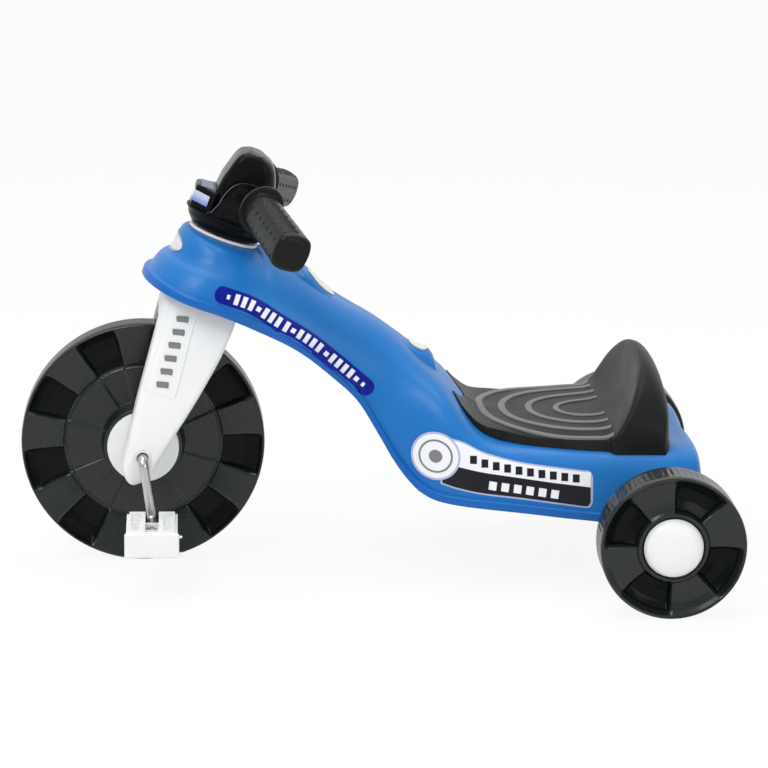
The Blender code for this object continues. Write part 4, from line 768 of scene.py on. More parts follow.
# Pods on the neck: height over the top line along the neck, half width, roundness across, then
# the plate's ends along the neck and its half width
PODS = (
    ("upper", ((0.138, 0.0), (0.150, 0.0016), (0.160, 0.0052), (0.1660, 0.0088), (0.1690, 0.0086),
               (0.180, 0.0048), (0.196, 0.0)),
     0.027, 3.4, (0.1680, 0.1955), 0.0200),
    ("lower", ((0.256, 0.0), (0.266, 0.0010), (0.2735, 0.0034), (0.284, 0.0086), (0.2925, 0.0120),
               (0.2975, 0.0100), (0.3005, 0.0040), (0.3020, 0.0)),
     0.0225, 2.2, (0.2728, 0.2925), 0.0150),
)


POD_SINK = 0.0009
POD_ROWS = 72
POD_COLUMNS = 48
PLATE_THICKNESS = 0.0008


def make_pods():
    for name, heights, half_width, roundness, (plate_start, plate_end), plate_half in PODS:
        start, end = heights[0][0], heights[-1][0]
        rows = []
        for i in range(POD_ROWS + 1):
            x = start + (end - start) * i / POD_ROWS
            (height,) = eased(heights, x)
            row = []
            for j in range(POD_COLUMNS + 1):
                v = -1 + 2 * j / POD_COLUMNS
                v = math.copysign(abs(v) ** 0.8, v)
                y = v * half_width
                rise = (height + POD_SINK) * max(0.0, 1 - abs(v) ** roundness) ** 0.55
                row.append(Vector((x, y, body_top(x, y) - POD_SINK + rise)))
            rows.append(row)
        pod = piece(f"neck_pod_{name}", grid_mesh(rows), DATUM, BLUE, "frame", "blue_shell")
        middle, reach = (plate_start + plate_end) / 2, (plate_end - plate_start) / 2
        rays = [[(Vector((middle + reach * u, plate_half * v, ABOVE_ALL)), DOWN) for u, v in row]
                for row in oval_grid(24, 16, 2.4)]
        skin_patch(f"pod_plate_{name}", rays, 0.0, PLATE_THICKNESS, SILVER_FILM, "silver_lens",
                   tree=tree_of(pod), border=2, angle=35)


make_pods()


# Seat: along the middle from the front edge over the pan and the back (x, height over the pan)
SEAT_HALF_WIDTH = 0.1235
SEAT_FRONT_X = 0.3160
SEAT_REAR_X = WHEELBASE + 0.0125
PAN_REAR = WHEELBASE - 0.051
SEAT_PAN_Z = 0.1565
SEAT_WALL = 0.003


def pan_x(share):
    return SEAT_FRONT_X + (PAN_REAR - SEAT_FRONT_X) * share


def back_x(share):
    return PAN_REAR + (SEAT_REAR_X - PAN_REAR) * share


PAN_LINE = ((0, None), (0.0007, None), (0.064, None), (0.171, None), (0.331, None),
            (0.505, 0.0), (0.853, 0.0), (1.0, 0.0025))
BACK_LINE = ((0.220, 0.0085), (0.370, 0.0225), (0.528, 0.0530), (0.570, 0.0610),
             (0.630, 0.0658), (0.709, 0.0652), (0.800, 0.0612), (0.900, 0.0520),
             (0.970, 0.0370), (0.992, None), (1.0, None))
SEAT_LINE = (tuple((pan_x(share), height) for share, height in PAN_LINE)
             + tuple((back_x(share), height) for share, height in BACK_LINE))
# In plan: place along the pan, half width as a share of the widest
SEAT_PLAN = tuple((pan_x(share), half) for share, half in (
    (0.00, 0.360), (0.030, 0.480), (0.075, 0.560), (0.14, 0.638), (0.22, 0.690), (0.30, 0.725),
    (0.44, 0.795), (0.56, 0.840), (0.73, 0.892), (1.00, 0.957)))
SEAT_PLAN += ((back_x(0.40), 0.990), (back_x(0.65), 1.0))
# The lines of points along the seat, as shares of the half width
SEAT_ACROSS = (0, 0.10, 0.20, 0.30, 0.39, 0.48, 0.56, 0.64, 0.71, 0.77, 0.83, 0.88, 0.92, 0.95,
               0.975, 0.99, 1.0)
# How high the front edge's first points stand over the body
SEAT_FRONT_LIFT = (None, 0.0016, 0.0042, 0.0078, 0.0108)
SEAT_THICKNESS = 0.0042
SEAT_LEAST = 0.0005
BACK_HALF_WIDTH = SEAT_HALF_WIDTH - 0.0055
BACK_ROUND = 2.25
BACK_BOW = 0.0155
BACK_CORNER = 0.008
FRONT_NOTCH = 0.015


def seat_half_width(x):
    return SEAT_HALF_WIDTH * eased(SEAT_PLAN, x)[0]


def pan_height(across):
    return SEAT_PAN_Z - 0.0045 * across ** 8


def seat_rest(x, y):
    """The lowest height at which a wall of the seat clears the body."""
    inwards = (SEAT_WALL + 0.001) * (1 if x < PAN_REAR else -1)
    nearer = max(abs(y) - abs(inwards), 0)
    places = [(x, y), (x + inwards, y), (x, nearer), (x + inwards, nearer)]
    return max(body_top(px, py) for px, py in places) + GAP


def seat_point(index, across):
    """A point of the seat's top at a row of SEAT_LINE, across the left half."""
    x, over_pan = SEAT_LINE[index]
    y = -across * seat_half_width(x)
    if x <= PAN_REAR:
        along = (x - SEAT_FRONT_X) / (PAN_REAR - SEAT_FRONT_X)
        x += FRONT_NOTCH * (1 - across ** 2) * (1 - along) ** 4
    else:
        along = (x - PAN_REAR) / (SEAT_REAR_X - PAN_REAR)
        x -= BACK_CORNER * across ** 10 * along
        if over_pan is not None:
            bow = max(0.0, math.sin(math.pi * along))
            x -= BACK_BOW * (abs(y) / BACK_HALF_WIDTH) ** 2.6 * bow
    last = len(SEAT_LINE) - 1
    if index in (0, last):
        return Vector((x, y, seat_rest(x, y)))
    thick = body_top(x, y) + SEAT_THICKNESS
    if index == last - 1:
        return Vector((x, y, max(seat_rest(x, y) + 0.003, thick)))
    if over_pan is None:
        return Vector((x, y, max(pan_height(across), body_top(x, y) + SEAT_FRONT_LIFT[index])))
    share = max(0.0, 1 - (abs(y) / SEAT_HALF_WIDTH) ** BACK_ROUND) ** (1 / BACK_ROUND)
    return Vector((x, y, max(pan_height(across) + over_pan * share, thick)))


def seat_rows():
    """Lines of points along the seat's top, from its middle to its left edge."""
    rows = [[seat_point(i, across) for i in range(len(SEAT_LINE))] for across in SEAT_ACROSS]
    rows = refined(rows, 3, 5)
    for point in rows[0]:
        point.y = 0.0
    return rows


SEAT_ROWS = seat_rows()


def make_seat():
    rows = [list(row) for row in SEAT_ROWS]
    rows.append([Vector((p.x, p.y, min(p.z - SEAT_LEAST, seat_rest(p.x, p.y)))) for p in rows[-1]])
    last = len(rows[0]) - 1
    bm = bmesh.new()
    top = [[bm.verts.new(point) for point in row] for row in rows]
    under = []
    for r, row in enumerate(rows[:-1]):
        line = [top[r][0]]
        for point in row[1:-1]:
            low = max(body_top(point.x, point.y), body_top(point.x, point.y - 0.004)) + GAP
            line.append(bm.verts.new((point.x, point.y, min(low, point.z - SEAT_LEAST))))
        under.append(line + [top[r][last]])
    under.append(top[-1])
    for layer in (top, under):
        for low, high in zip(layer, layer[1:]):
            for i in range(last):
                corners = list(dict.fromkeys((low[i], low[i + 1], high[i + 1], high[i])))
                if len(corners) > 2:
                    bm.faces.new(corners)
    bmesh.ops.remove_doubles(bm, verts=bm.verts, dist=1e-5)
    seat = loose_object("moulded_seat", bm, DATUM)
    top_face = max(seat.data.polygons, key=lambda face: face.center.z)
    if top_face.normal.z < 0:
        seat.data.flip_normals()
    add_other_half(seat)
    settle(seat, 30)
    fit(seat, SEAT_BLACK, "frame", "black_seat", "seat")


make_seat()

# Ribs on the pan, hairpins that share one tip: far end, half width of the pin, width of the rib
RIB_TIP_X = 0.474
RIBS = ((0.347, 0.1110, 0.0092), (0.371, 0.0880, 0.0088), (0.399, 0.0610, 0.0082),
        (0.4275, 0.0335, 0.0074))
RIB_HEIGHT = 0.0013
RIB_SINK = 0.0012
RIB_SLOPE = 0.0009
RIB_STEPS = 90
RIB_POWER = 2 / 2.2


def swept(path, frames, section):
    rings = []
    for point, (across, up) in zip(path, frames):
        rings.append([point + across * a + up * b for a, b in section])
    return grid_mesh(rings, closed_across=True, caps=True)


def make_seat_ribs():
    tree = BVHTree.FromBMesh(grid_mesh(SEAT_ROWS))
    for n, (apex_x, half_width, rib_width) in enumerate(RIBS):
        path, frames = [], []
        for i in range(RIB_STEPS + 1):
            turn = math.pi * (i / RIB_STEPS - 0.5)
            x = RIB_TIP_X - (RIB_TIP_X - apex_x) * abs(math.cos(turn)) ** RIB_POWER
            y = half_width * math.copysign(abs(math.sin(turn)) ** RIB_POWER, turn)
            path.append(Vector((x, y, height_over(tree, x, y, SEAT_PAN_Z))))
        for i in range(RIB_STEPS + 1):
            along = path[min(i + 1, RIB_STEPS)] - path[max(i - 1, 0)]
            along.z = 0
            along.normalize()
            frames.append((Vector((along.y, -along.x, 0)), Vector((0, 0, 1))))
        half = rib_width / 2
        outline = [Vector(p) for p in ((-half, -RIB_SINK), (-half + RIB_SLOPE, RIB_HEIGHT),
                                       (half - RIB_SLOPE, RIB_HEIGHT), (half, -RIB_SINK))]
        section = [tuple(p) for p in rounded(outline, 0.0007, 3, True)]
        # The ribs are coloured light grey as a painted highlight of the glare on them.
        piece(f"seat_rib_{n + 1}", swept(path, frames, section), DATUM, PAINTED_HIGHLIGHT_GREY, "frame",
              "black_seat")


make_seat_ribs()


# Head bush
def make_head_bush():
    top, low = HEAD_FACE + GAP + BUSH_FLANGE, -0.040
    bore = POST_RADIUS + RUNNING_FIT
    rows = [(BUSH_FLANGE_RADIUS, top), (BUSH_FLANGE_RADIUS, HEAD_FACE + GAP),
            (BUSH_RADIUS, HEAD_FACE + GAP), (BUSH_RADIUS, low), (bore, low), (bore, top)]
    piece("head_ring", lathe(turned_outline(rows, 0.0006), 96), STEERING, WHITE, "frame",
          "white_plastic", "head_bush")


make_head_bush()


# Wheels: side profile from the hub out (radius, how far a raised and a sunk panel stand out)
REAR_HUB_FACE = 0.0165
FRONT_HUB_FACE = 0.0300
FRONT_OPENING = 0.0245
REAR_OPENING = 0.0165
REAR_SIDE = (
    (0.0305, REAR_HUB_FACE, REAR_HUB_FACE), (0.0315, 0.0186, 0.0186), (0.0345, 0.0186, 0.0186),
    (0.0370, 0.0152, 0.0100), (0.0480, 0.0140, 0.0052), (0.0580, 0.0150, 0.0062),
    (0.0650, 0.0172, 0.0108), (0.0692, 0.0205, 0.0198), (0.0716, 0.0213, 0.0213),
    (REAR_RADIUS, 0.0185, 0.0185),
)
FRONT_SIDE = (
    (0.0400, FRONT_HUB_FACE, FRONT_HUB_FACE), (0.0430, 0.0102, 0.0086), (0.0600, 0.0096, 0.0078),
    (0.0782, 0.0092, 0.0072), (0.0794, 0.0080, 0.0060), (0.0808, 0.0080, 0.0060),
    (0.0822, 0.0100, 0.0062), (0.0920, 0.0118, 0.0046), (0.1050, 0.0142, 0.0056),
    (0.1140, 0.0158, 0.0088), (0.1195, 0.0168, 0.0132), (0.1228, 0.0174, 0.0172),
    (0.1243, 0.0164, 0.0164), (FRONT_RADIUS, 0.0120, 0.0120),
)


# step: the share of a panel that its edge takes; tread: how many ribs it has, and how deep. The
# painted shade, a darker copy of the wheel's black, goes on sunk panels between two radii, and
# everywhere beyond a third.
FRONT_WHEEL = {"side_rows": FRONT_SIDE, "opening": FRONT_OPENING, "panels": 18,
               "first_edge": math.radians(4), "step": 0.060, "ease": 0.0012, "per_panel": 22,
               "tread": None, "shade_from": 0.0815, "shade_to": 0.1225, "shade_beyond": 0.1246}
REAR_WHEEL = {"side_rows": REAR_SIDE, "opening": REAR_OPENING, "panels": 8,
              "first_edge": math.radians(-2), "step": 0.07, "ease": 0.0020, "per_panel": 54,
              "tread": (72, 0.0006), "shade_from": 0.0365, "shade_to": 0.0660,
              "shade_beyond": 1.0}
TREAD_POINTS = 8


def panelled_wheel(name, matrix, body, node, side_rows, opening, panels, first_edge, step, ease,
                   per_panel, tread, shade_from, shade_to, shade_beyond):
    """A moulded wheel about Y whose sides step between raised and sunk panels."""
    face = side_rows[0][1]
    half = rounded([Vector((opening, face, face))] + [Vector(row) for row in side_rows], ease, 4)
    panel_turn = 2 * math.pi / panels
    rings = []
    for panel in range(panels):
        for n in range(per_panel):
            share = n / per_panel
            lift = eased_share(0.5 + min(share, 1 - share) / (2 * step))
            raised = lift if panel % 2 == 0 else 1 - lift
            turn = first_edge + panel_turn * (panel + share)
            outline = [(p.x, p.z + (p.y - p.z) * raised) for p in half]
            ring = list(outline)
            for k in range(1, TREAD_POINTS):
                radius = side_rows[-1][0]
                if tread and 1 < k < TREAD_POINTS - 1:
                    count, depth = tread
                    radius -= depth * (0.5 - 0.5 * math.cos(count * turn)) ** 2
                ring.append((radius, half[-1].y * (1 - 2 * k / TREAD_POINTS)))
            ring += [(radius, -y) for radius, y in reversed(outline)]
            rings.append([Vector((radius * math.cos(turn), y, radius * math.sin(turn)))
                          for radius, y in ring])
    bm = grid_mesh(rings, closed_across=True, closed_along=True)
    wheel = piece(name, bm, matrix, WHEEL_BLACK, body, "black_wheel", node, angle=50)
    # Sunk panels between two radii, and all faces beyond a third, take the painted shade copy of
    # the black.
    wheel.data.materials.append(WHEEL_PAINTED_SHADE)
    for polygon in wheel.data.polygons:
        radius = math.hypot(polygon.center.x, polygon.center.z)
        turn = (math.atan2(polygon.center.z, polygon.center.x) - first_edge) % (2 * math.pi)
        sunk = int(turn / panel_turn) % 2 == 1
        if (sunk and shade_from < radius < shade_to) or radius > shade_beyond:
            polygon.material_index = 1


def make_wheels():
    panelled_wheel("panelled_front_wheel", FRONT_AXLE, "crank_wheel", "front_wheel", **FRONT_WHEEL)
    for side, side_name in SIDES:
        hub = DATUM @ Matrix.Translation((WHEELBASE, side * REAR_TRACK / 2, REAR_RADIUS))
        panelled_wheel(f"panelled_rear_wheel_{side_name}", hub, f"{side_name}_rear_wheel",
                       f"rear_wheel_{side_name}", **REAR_WHEEL)
        face = REAR_HUB_FACE + GAP
        rows = [(0, 0.0292), (0.0130, 0.0288), (0.0220, 0.0270), (0.0275, 0.0235), (0.0295, 0.0190),
                (0.0295, face), (0.0238, face), (0.0238, 0.0225), (0, 0.0240)]
        piece(f"domed_cap_{side_name}", lathe(turned_outline(rows, 0.003, 5), 96),
              hub @ OUTWARDS[side], WHITE, f"{side_name}_rear_wheel", "white_plastic",
              f"hub_cap_{side_name}")
        axle = FRONT_AXLE @ OUTWARDS[side]
        face = FRONT_HUB_FACE + GAP
        disc_in = 0.0140
        rows = [(HUB_RADIUS, HUB_FACE_Y), (HUB_RADIUS, face), (FRONT_OPENING - GAP, face),
                (FRONT_OPENING - GAP, disc_in), (ROD_RADIUS + GAP, disc_in),
                (ROD_RADIUS + GAP, HUB_FACE_Y)]
        piece(f"hub_plate_{side_name}", lathe(turned_outline(rows, 0.0010, 3), 96), axle, WHITE,
              "crank_wheel", "white_plastic", f"hub_disc_{side_name}")
        bush_end = LEG_OUTER + 0.0010
        flange_out, flange_in = BOSS_FACE - GAP, HUB_FACE_Y + RUNNING_FIT
        bush_radius, flange_radius, bore = 0.0085, 0.0130, ROD_RADIUS + RUNNING_FIT
        rows = [(bush_radius, bush_end), (bush_radius, flange_out), (flange_radius, flange_out),
                (flange_radius, flange_in), (bore, flange_in), (bore, bush_end - 0.0030),
                (ROD_RADIUS + 0.0020, bush_end)]
        piece(f"leg_bush_{side_name}", lathe(turned_outline(rows, 0.0005), 48), axle, WHITE,
              "steering", "white_plastic", f"axle_bush_{side_name}")


make_wheels()


# Fork: a leg from its foot up (height, front and rear edge, outer face), in the steering frame
LEG = (
    (-0.2640, -0.0095, -0.0040, 0.0735), (-0.2625, -0.0125, -0.0015, 0.0755),
    (-0.2570, -0.0185, 0.0040, 0.0772), (-0.2480, -0.0225, 0.0085, LEG_OUTER),
    (-0.2332, -0.0240, 0.0110, LEG_OUTER), (-0.2060, -0.0272, 0.0165, LEG_OUTER),
    (-0.1820, -0.0300, 0.0223, 0.0765), (-0.1460, -0.0330, 0.0299, 0.0715),
    (-0.1040, -0.0365, 0.0364, 0.0650), (-0.0760, -0.0388, 0.0378, 0.0610),
    (-0.0640, -0.0384, 0.0374, 0.0598),
)
CROWN_TOP_EDGE = (-0.0270, 0.0270, 0.0400)
LEG_WALL = 0.0030
LEG_REAR_ROUND = 0.006
POCKET_LOW = -0.2560
AXLE_BORE = 0.0085


def leg_front_round(z):
    """The radius of a leg's front corner, which gets smaller on the way down."""
    return 0.020 - 0.012 * min(1.0, max(0.0, (-0.05 - z) / 0.12))


def leg_outline(front, rear, inner, outer, z, front_round, rear_round, side):
    """A leg's section, from its inner side round the two outer corners and back."""
    def corner(edge, inwards, radius, steps):
        radius = min(radius, (rear - front) * 0.48, (outer - inner) * 0.9)
        turns = [math.pi / 2 * k / steps for k in range(steps + 1)]
        return [(edge + inwards * radius * (1 - math.cos(turn)),
                 outer - radius * (1 - math.sin(turn))) for turn in turns]

    points = [(front, inner)] + corner(front, 1, front_round, 8)
    points += corner(rear, -1, rear_round, 6)[::-1] + [(rear, inner)]
    return [Vector((x, y * side, z)) for x, y in points]


def leg_edges(z):
    """Front edge, rear edge and outer face at a height; the crown's top is drawn in."""
    if z <= LEG[-1][0]:
        return eased(LEG, z)
    share = (z - LEG[-1][0]) / (CROWN_TOP - LEG[-1][0])
    return [low + (high - low) * share for low, high in zip(LEG[-1][1:], CROWN_TOP_EDGE)]


def leg_heights():
    low, high = LEG[0][0], CROWN_TOP
    heights = [low, low + 0.0004, low + 0.0010, low + 0.0020, low + 0.0035]
    while heights[-1] < high - 0.006:
        heights.append(heights[-1] + 0.005)
    return heights + [high - 0.0028, high - 0.0012, high - 0.0004, high]


def make_fork():
    rows, pockets = [], {LEFT: [], RIGHT: []}
    for z in leg_heights():
        front, rear, outer = leg_edges(z)
        right, left = [leg_outline(front, rear, 0, outer, z, leg_front_round(z), LEG_REAR_ROUND,
                                   side)[1:-1] for side in (RIGHT, LEFT)]
        rows.append(right + left[::-1])
        if POCKET_LOW < z < CROWN_BOTTOM - 0.004:
            for side, pocket in pockets.items():
                pocket.append(leg_outline(front + LEG_WALL, rear - LEG_WALL, LEG_INNER - 0.004,
                                          outer - LEG_WALL, z, 0.008, 0.005, side))
    fork = loose_object("moulded_fork", grid_mesh(rows, True, True), STEERING)
    carve(fork, box_shape((0.14, 2 * LEG_INNER, 0.25), (0, 0, CROWN_BOTTOM - 0.125)))
    foot = CROWN_TOP - 0.006
    post = [(0, POST_TOP), (POST_RADIUS, POST_TOP), (POST_RADIUS, foot), (0, foot)]
    carve(fork, lathe(turned_outline(post, 0.001), 48), "UNION")
    for pocket in pockets.values():
        carve(fork, grid_mesh(pocket, True, True))
    for side in (LEFT, RIGHT):
        boss = rod_shape(0.0120, (0, side * BOSS_FACE, 0), (0, side * (LEG_OUTER - 0.001), 0))
        carve(fork, boss, "UNION", FRONT_AXLE)
    carve(fork, rod_shape(AXLE_BORE + GAP, (0, -0.09, 0), (0, 0.09, 0)), matrix=FRONT_AXLE)
    fit(fork, WHITE, "steering", "white_plastic", "fork")


make_fork()


# Raised flat on each leg's outer face, with a row of plain bars between two places (x, z)
PANEL_TOP = -0.0655
PANEL_LOW = -0.1680
PANEL_LIFT = 0.0012
PANEL_ROWS = 40
PANEL_COLUMNS = 24
BARS = 6
BAR_TOP = (-0.0145, -0.0870)
BAR_LOW = (-0.0118, -0.1553)
BAR_SIZE = (0.0125, 0.0016, 0.0066)
BAR_SLANT = Matrix.Rotation(math.radians(-14), 4, "Y")


def make_leg_panels():
    for side, side_name in SIDES:
        rows = []
        for i in range(PANEL_ROWS + 1):
            z = PANEL_TOP + (PANEL_LOW - PANEL_TOP) * i / PANEL_ROWS
            front, rear, outer = eased(LEG, z)
            start = front + leg_front_round(z) * 0.55
            end = -0.0015 + eased_share((z + 0.07) / -0.097) * 0.0065
            corner = min(leg_front_round(z), (rear - front) * 0.48)
            lift = PANEL_LIFT * min(1.0, i / 2, (PANEL_ROWS - i) / 2)
            row = []
            for j in range(PANEL_COLUMNS + 1):
                x = start + (end - start) * (1 - (1 - j / PANEL_COLUMNS) ** 1.6)
                over = max(0.0, front + corner - x)
                fall = corner - math.sqrt(max(0.0, corner * corner - over * over))
                edge = min(1.0, (PANEL_COLUMNS - j) / 3)
                row.append(Vector((x, side * (outer - fall + lift * edge - 0.0001), z)))
            rows.append(row)
        panel = loose_object(f"leg_panel_{side_name}", grid_mesh(rows), STEERING)
        fit(panel, WHITE, "steering", "white_plastic")
        for n in range(BARS):
            x, z = [top + (low - top) * n / (BARS - 1) for top, low in zip(BAR_TOP, BAR_LOW)]
            outer = eased(LEG, z)[2]
            spot = Matrix.Translation((x, side * (outer + PANEL_LIFT), z)) @ BAR_SLANT
            piece(f"leg_bar_{side_name}_{n + 1}", box_shape(BAR_SIZE, edge=0.0006), STEERING @ spot,
                  MARK_GREY, "steering", "white_plastic")


make_leg_panels()


# Crank and pedals
BEND_RADIUS = 0.008


def make_crank():
    """The rod's line runs from the right pedal over the axle to the left one."""
    arm = Vector((math.sin(CRANK_LEAN), 0, -math.cos(CRANK_LEAN))) * CRANK_RADIUS
    out = CRANK_ARM_Y + SPINDLE_LENGTH
    corners = [arm + Vector((0, -out, 0)), arm + Vector((0, -CRANK_ARM_Y, 0)),
               Vector((0, -CRANK_ARM_Y, 0)), Vector((0, CRANK_ARM_Y, 0)),
               -arm + Vector((0, CRANK_ARM_Y, 0)), -arm + Vector((0, out, 0))]
    path = [corners[0]]
    for before, corner, after in zip(corners, corners[1:], corners[2:]):
        back, ahead = (before - corner).normalized(), (after - corner).normalized()
        for k in range(13):
            turn = math.pi / 2 * k / 12
            bend = back * (1 - math.sin(turn)) + ahead * (1 - math.cos(turn))
            path.append(corner + bend * BEND_RADIUS)
    path.append(corners[-1])
    sideways = Vector((math.cos(CRANK_LEAN), 0, math.sin(CRANK_LEAN)))
    frames = []
    for i in range(len(path)):
        along = (path[min(i + 1, len(path) - 1)] - path[max(i - 1, 0)]).normalized()
        frames.append((sideways, along.cross(sideways)))
    turns = [2 * math.pi * i / 32 for i in range(32)]
    section = [(ROD_RADIUS * math.cos(turn), ROD_RADIUS * math.sin(turn)) for turn in turns]
    piece("bent_crank", swept(path, frames, section), FRONT_AXLE, ZINC, "crank_wheel", "zinc_steel",
          "crank", angle=50)
    return arm


CRANK_ARM = make_crank()


def make_pedal(side, side_name):
    """A box with a clipped channel over the crank's end, ribbed wells on top, hollows below."""
    spindle = CRANK_ARM * -side + Vector((0, side * CRANK_ARM_Y, 0))
    start, end = PEDAL_START, PEDAL_START + PEDAL_LENGTH
    middle = (start + end) / 2
    half_width, half_height = PEDAL_WIDTH / 2, PEDAL_HEIGHT / 2
    channel_length, channel_height = PEDAL_LENGTH - 0.0080, half_height + 0.002
    cut, join = "DIFFERENCE", "UNION"
    # What is cut or joined, size, centre with y away from the arm, eased edge, its segments
    flange = (PEDAL_WIDTH + 0.0030, 0.0045, PEDAL_HEIGHT + 0.0010)
    well = (0.0090, PEDAL_LENGTH - 0.024, 0.0080)
    hollow = (half_width - PEDAL_CHANNEL / 2 - 0.0050, PEDAL_LENGTH - 0.0080, 0.0160)
    rib = (0.0092, 0.0018, 0.0050)
    clip = (PEDAL_CHANNEL + 0.0030, 0.0040, 0.0160)
    tab = (0.0050, 0.0030, 0.0022)
    boxes = [(join, flange, (0, end - flange[1] / 2, 0), 0.0013, 3),
             (cut, (PEDAL_CHANNEL, channel_length, channel_height),
              (0, start - 0.001 + channel_length / 2, channel_height / 2), 0, 2)]
    for well_side in (-1, 1):
        x = well_side * (PEDAL_CHANNEL / 2 + half_width) / 2
        boxes += [(cut, well, (x, middle, half_height), 0.0018, 3),
                  (cut, hollow, (x, middle, -half_height + 0.0020), 0, 2)]
        boxes += [(join, rib, (x, start + 0.016 + n * 0.0130, half_height - 0.0030), 0.0004, 2)
                  for n in range(5)]
    boxes += [(join, clip, (0, start + PEDAL_LENGTH * share, 0), 0.0006, 2)
              for share in (0.36, 0.66, 0.90)]
    boxes += [(join, tab, (half_width + 0.0020, end - 0.0030, z), 0.0005, 2)
              for z in (0.0085, -0.0085)]
    block = box_shape((PEDAL_WIDTH, PEDAL_LENGTH, PEDAL_HEIGHT), (0, side * middle, 0), 0.0026, 4)
    pedal = loose_object(f"moulded_pedal_{side_name}", block,
                         FRONT_AXLE @ Matrix.Translation(spindle))
    for operation, size, (x, y, z), edge, segments in boxes:
        carve(pedal, box_shape(size, (x, side * y, z), edge, segments), operation)
    carve(pedal, rod_shape(ROD_RADIUS + RUNNING_FIT, (0, side * (start - 0.002), 0),
                           (0, side * (SPINDLE_LENGTH + 0.0020), 0), 32))
    fit(pedal, WHITE, f"{side_name}_pedal", "white_plastic", f"pedal_{side_name}")


for side, side_name in SIDES:
    make_pedal(side, side_name)


# Console: bowl, saddle and cross arms, in the steering frame
GRIP_START = Vector((0.0205, 0.077, 0.0475))
GRIP_END = Vector((0.0560, 0.180, 0.0330))
GRIP_RADIUS = 0.0185
GRIP_DISC_RADIUS = 0.0235
GRIP_DISC = 0.0035
STUB_RADIUS = 0.0105
BOWL_RIM_RADIUS = 0.0450
BOWL_RIM_Z = 0.0175
ARM_CENTRE = (0.0195, 0.0435)
ARM_RADIUS = 0.0163
ARM_REACH = 0.0900
SADDLE_HALF_WIDTH = 0.0400
HIGHLIGHT_BEAD_RADIUS = 0.0006
COVER_HALF_WIDTH = 0.0300
COVER_REAR = 0.0304
BASE_FLOOR = 0.0003
BASE_WALL = 0.0028


def grip_axis(side):
    """The middle of a grip's inner face, and the direction the grip takes outwards."""
    start = Vector((GRIP_START.x, side * GRIP_START.y, GRIP_START.z))
    end = Vector((GRIP_END.x, side * GRIP_END.y, GRIP_END.z))
    return start, (end - start).normalized()


def flat_curve(points, steps):
    return [(p.x, p.y) for p in curve_through([Vector(q) for q in points], steps)]


def make_console():
    bowl_in = BOWL_RIM_RADIUS - BASE_WALL
    floor = BASE_FLOOR + 0.0030
    hub_radius = POST_RADIUS + GAP + 0.0045
    rim, lip = BOWL_RIM_Z, BOWL_RIM_RADIUS + 0.0012
    rows = [(0, rim), (hub_radius, rim), (hub_radius, floor), (0.0320, floor),
            (bowl_in, rim - 0.004), (bowl_in, rim), (lip, rim), (lip, rim - 0.0022),
            (BOWL_RIM_RADIUS - 0.0006, rim - 0.0026), (0.0418, 0.0085), (0.0372, 0.0028),
            (0.0345, BASE_FLOOR), (0, BASE_FLOOR)]
    base = loose_object("console_bowl", lathe(turned_outline(rows, 0.0016, 4), 96), STEERING)
    ridge = flat_curve([(-0.0230, 0.0100), (-0.0232, 0.0175), (-0.0208, 0.0232), (-0.0180, 0.0300),
                        (-0.0168, 0.0368), (-0.0147, 0.0430), (-0.0112, 0.0494), (-0.0052, 0.0558),
                        (0.0031, 0.0588), (0.0114, 0.0593), (0.0195, 0.0570), (0.0270, 0.0515),
                        (0.0350, 0.0430), (0.0395, 0.0300), (0.0400, 0.0160), (0.0340, 0.0100)], 4)
    ends = (-SADDLE_HALF_WIDTH, SADDLE_HALF_WIDTH)
    saddle = [[Vector((x, y, z)) for x, z in ridge] for y in ends]
    carve(base, grid_mesh(saddle, True, True), "UNION")
    arm_ends = [(ARM_CENTRE[0], y, ARM_CENTRE[1]) for y in (-ARM_REACH, ARM_REACH)]
    carve(base, rod_shape(ARM_RADIUS, *arm_ends, 48), "UNION")
    lip_line = flat_curve([(-0.0262, 0.0190), (-0.0226, 0.0210), (-0.0206, 0.0252),
                           (-0.0177, 0.0317), (-0.0166, 0.0385), (-0.0146, 0.0446),
                           (-0.0114, 0.0511), (-0.0054, 0.0575), (0.0031, 0.0605),
                           (0.0114, 0.0610), (0.0195, 0.0588)], 5)
    for side, side_name in SIDES:
        start, along = grip_axis(side)
        carve(base, rod_shape(0.040, start - along * GAP, start + along * 0.0597, 32))
        inner, outer = side * (SADDLE_HALF_WIDTH - 0.004), side * (SADDLE_HALF_WIDTH + 0.0018)
        # A thin light grey bead along the lip's outer edge is a painted highlight line.
        edge = side * (SADDLE_HALF_WIDTH + 0.0014)
        lip, highlight_bead = [], []
        for x, z in lip_line:
            low, high = z - 0.0012, z + 0.0010
            lip.append([Vector((x, y, height)) for y, height in ((inner, low), (outer, low),
                                                                 (outer, high), (inner, high))])
            ring = []
            for k in range(8):
                turn = 2 * math.pi * k / 8
                out, rise = HIGHLIGHT_BEAD_RADIUS * math.cos(turn), HIGHLIGHT_BEAD_RADIUS * math.sin(turn)
                ring.append(Vector((x + out, edge + side * rise, z + 0.0009 + rise)))
            highlight_bead.append(ring)
        carve(base, grid_mesh(lip, True, True), "UNION")
        piece(f"saddle_highlight_{side_name}", grid_mesh(highlight_bead, True, True), STEERING, PAINTED_HIGHLIGHT_GREY,
              "steering", "black_console")
        stub = rod_shape(STUB_RADIUS, start - along * 0.018, start + along * 0.085, 28)
        carve(base, stub, "UNION")
    carve(base, box_shape((0.070, 2 * (COVER_HALF_WIDTH + GAP), 0.08),
                          (COVER_REAR + GAP - 0.035, 0, BOWL_RIM_Z + 0.0402)))
    carve(base, rod_shape(POST_RADIUS + GAP, (0, 0, -POST_TOP - GAP), (0, 0, POST_TOP + GAP), 48))
    soften(base, 0.0007, 2, 50)
    fit(base, CONSOLE_BLACK, "steering", "black_console", "console_base")


make_console()

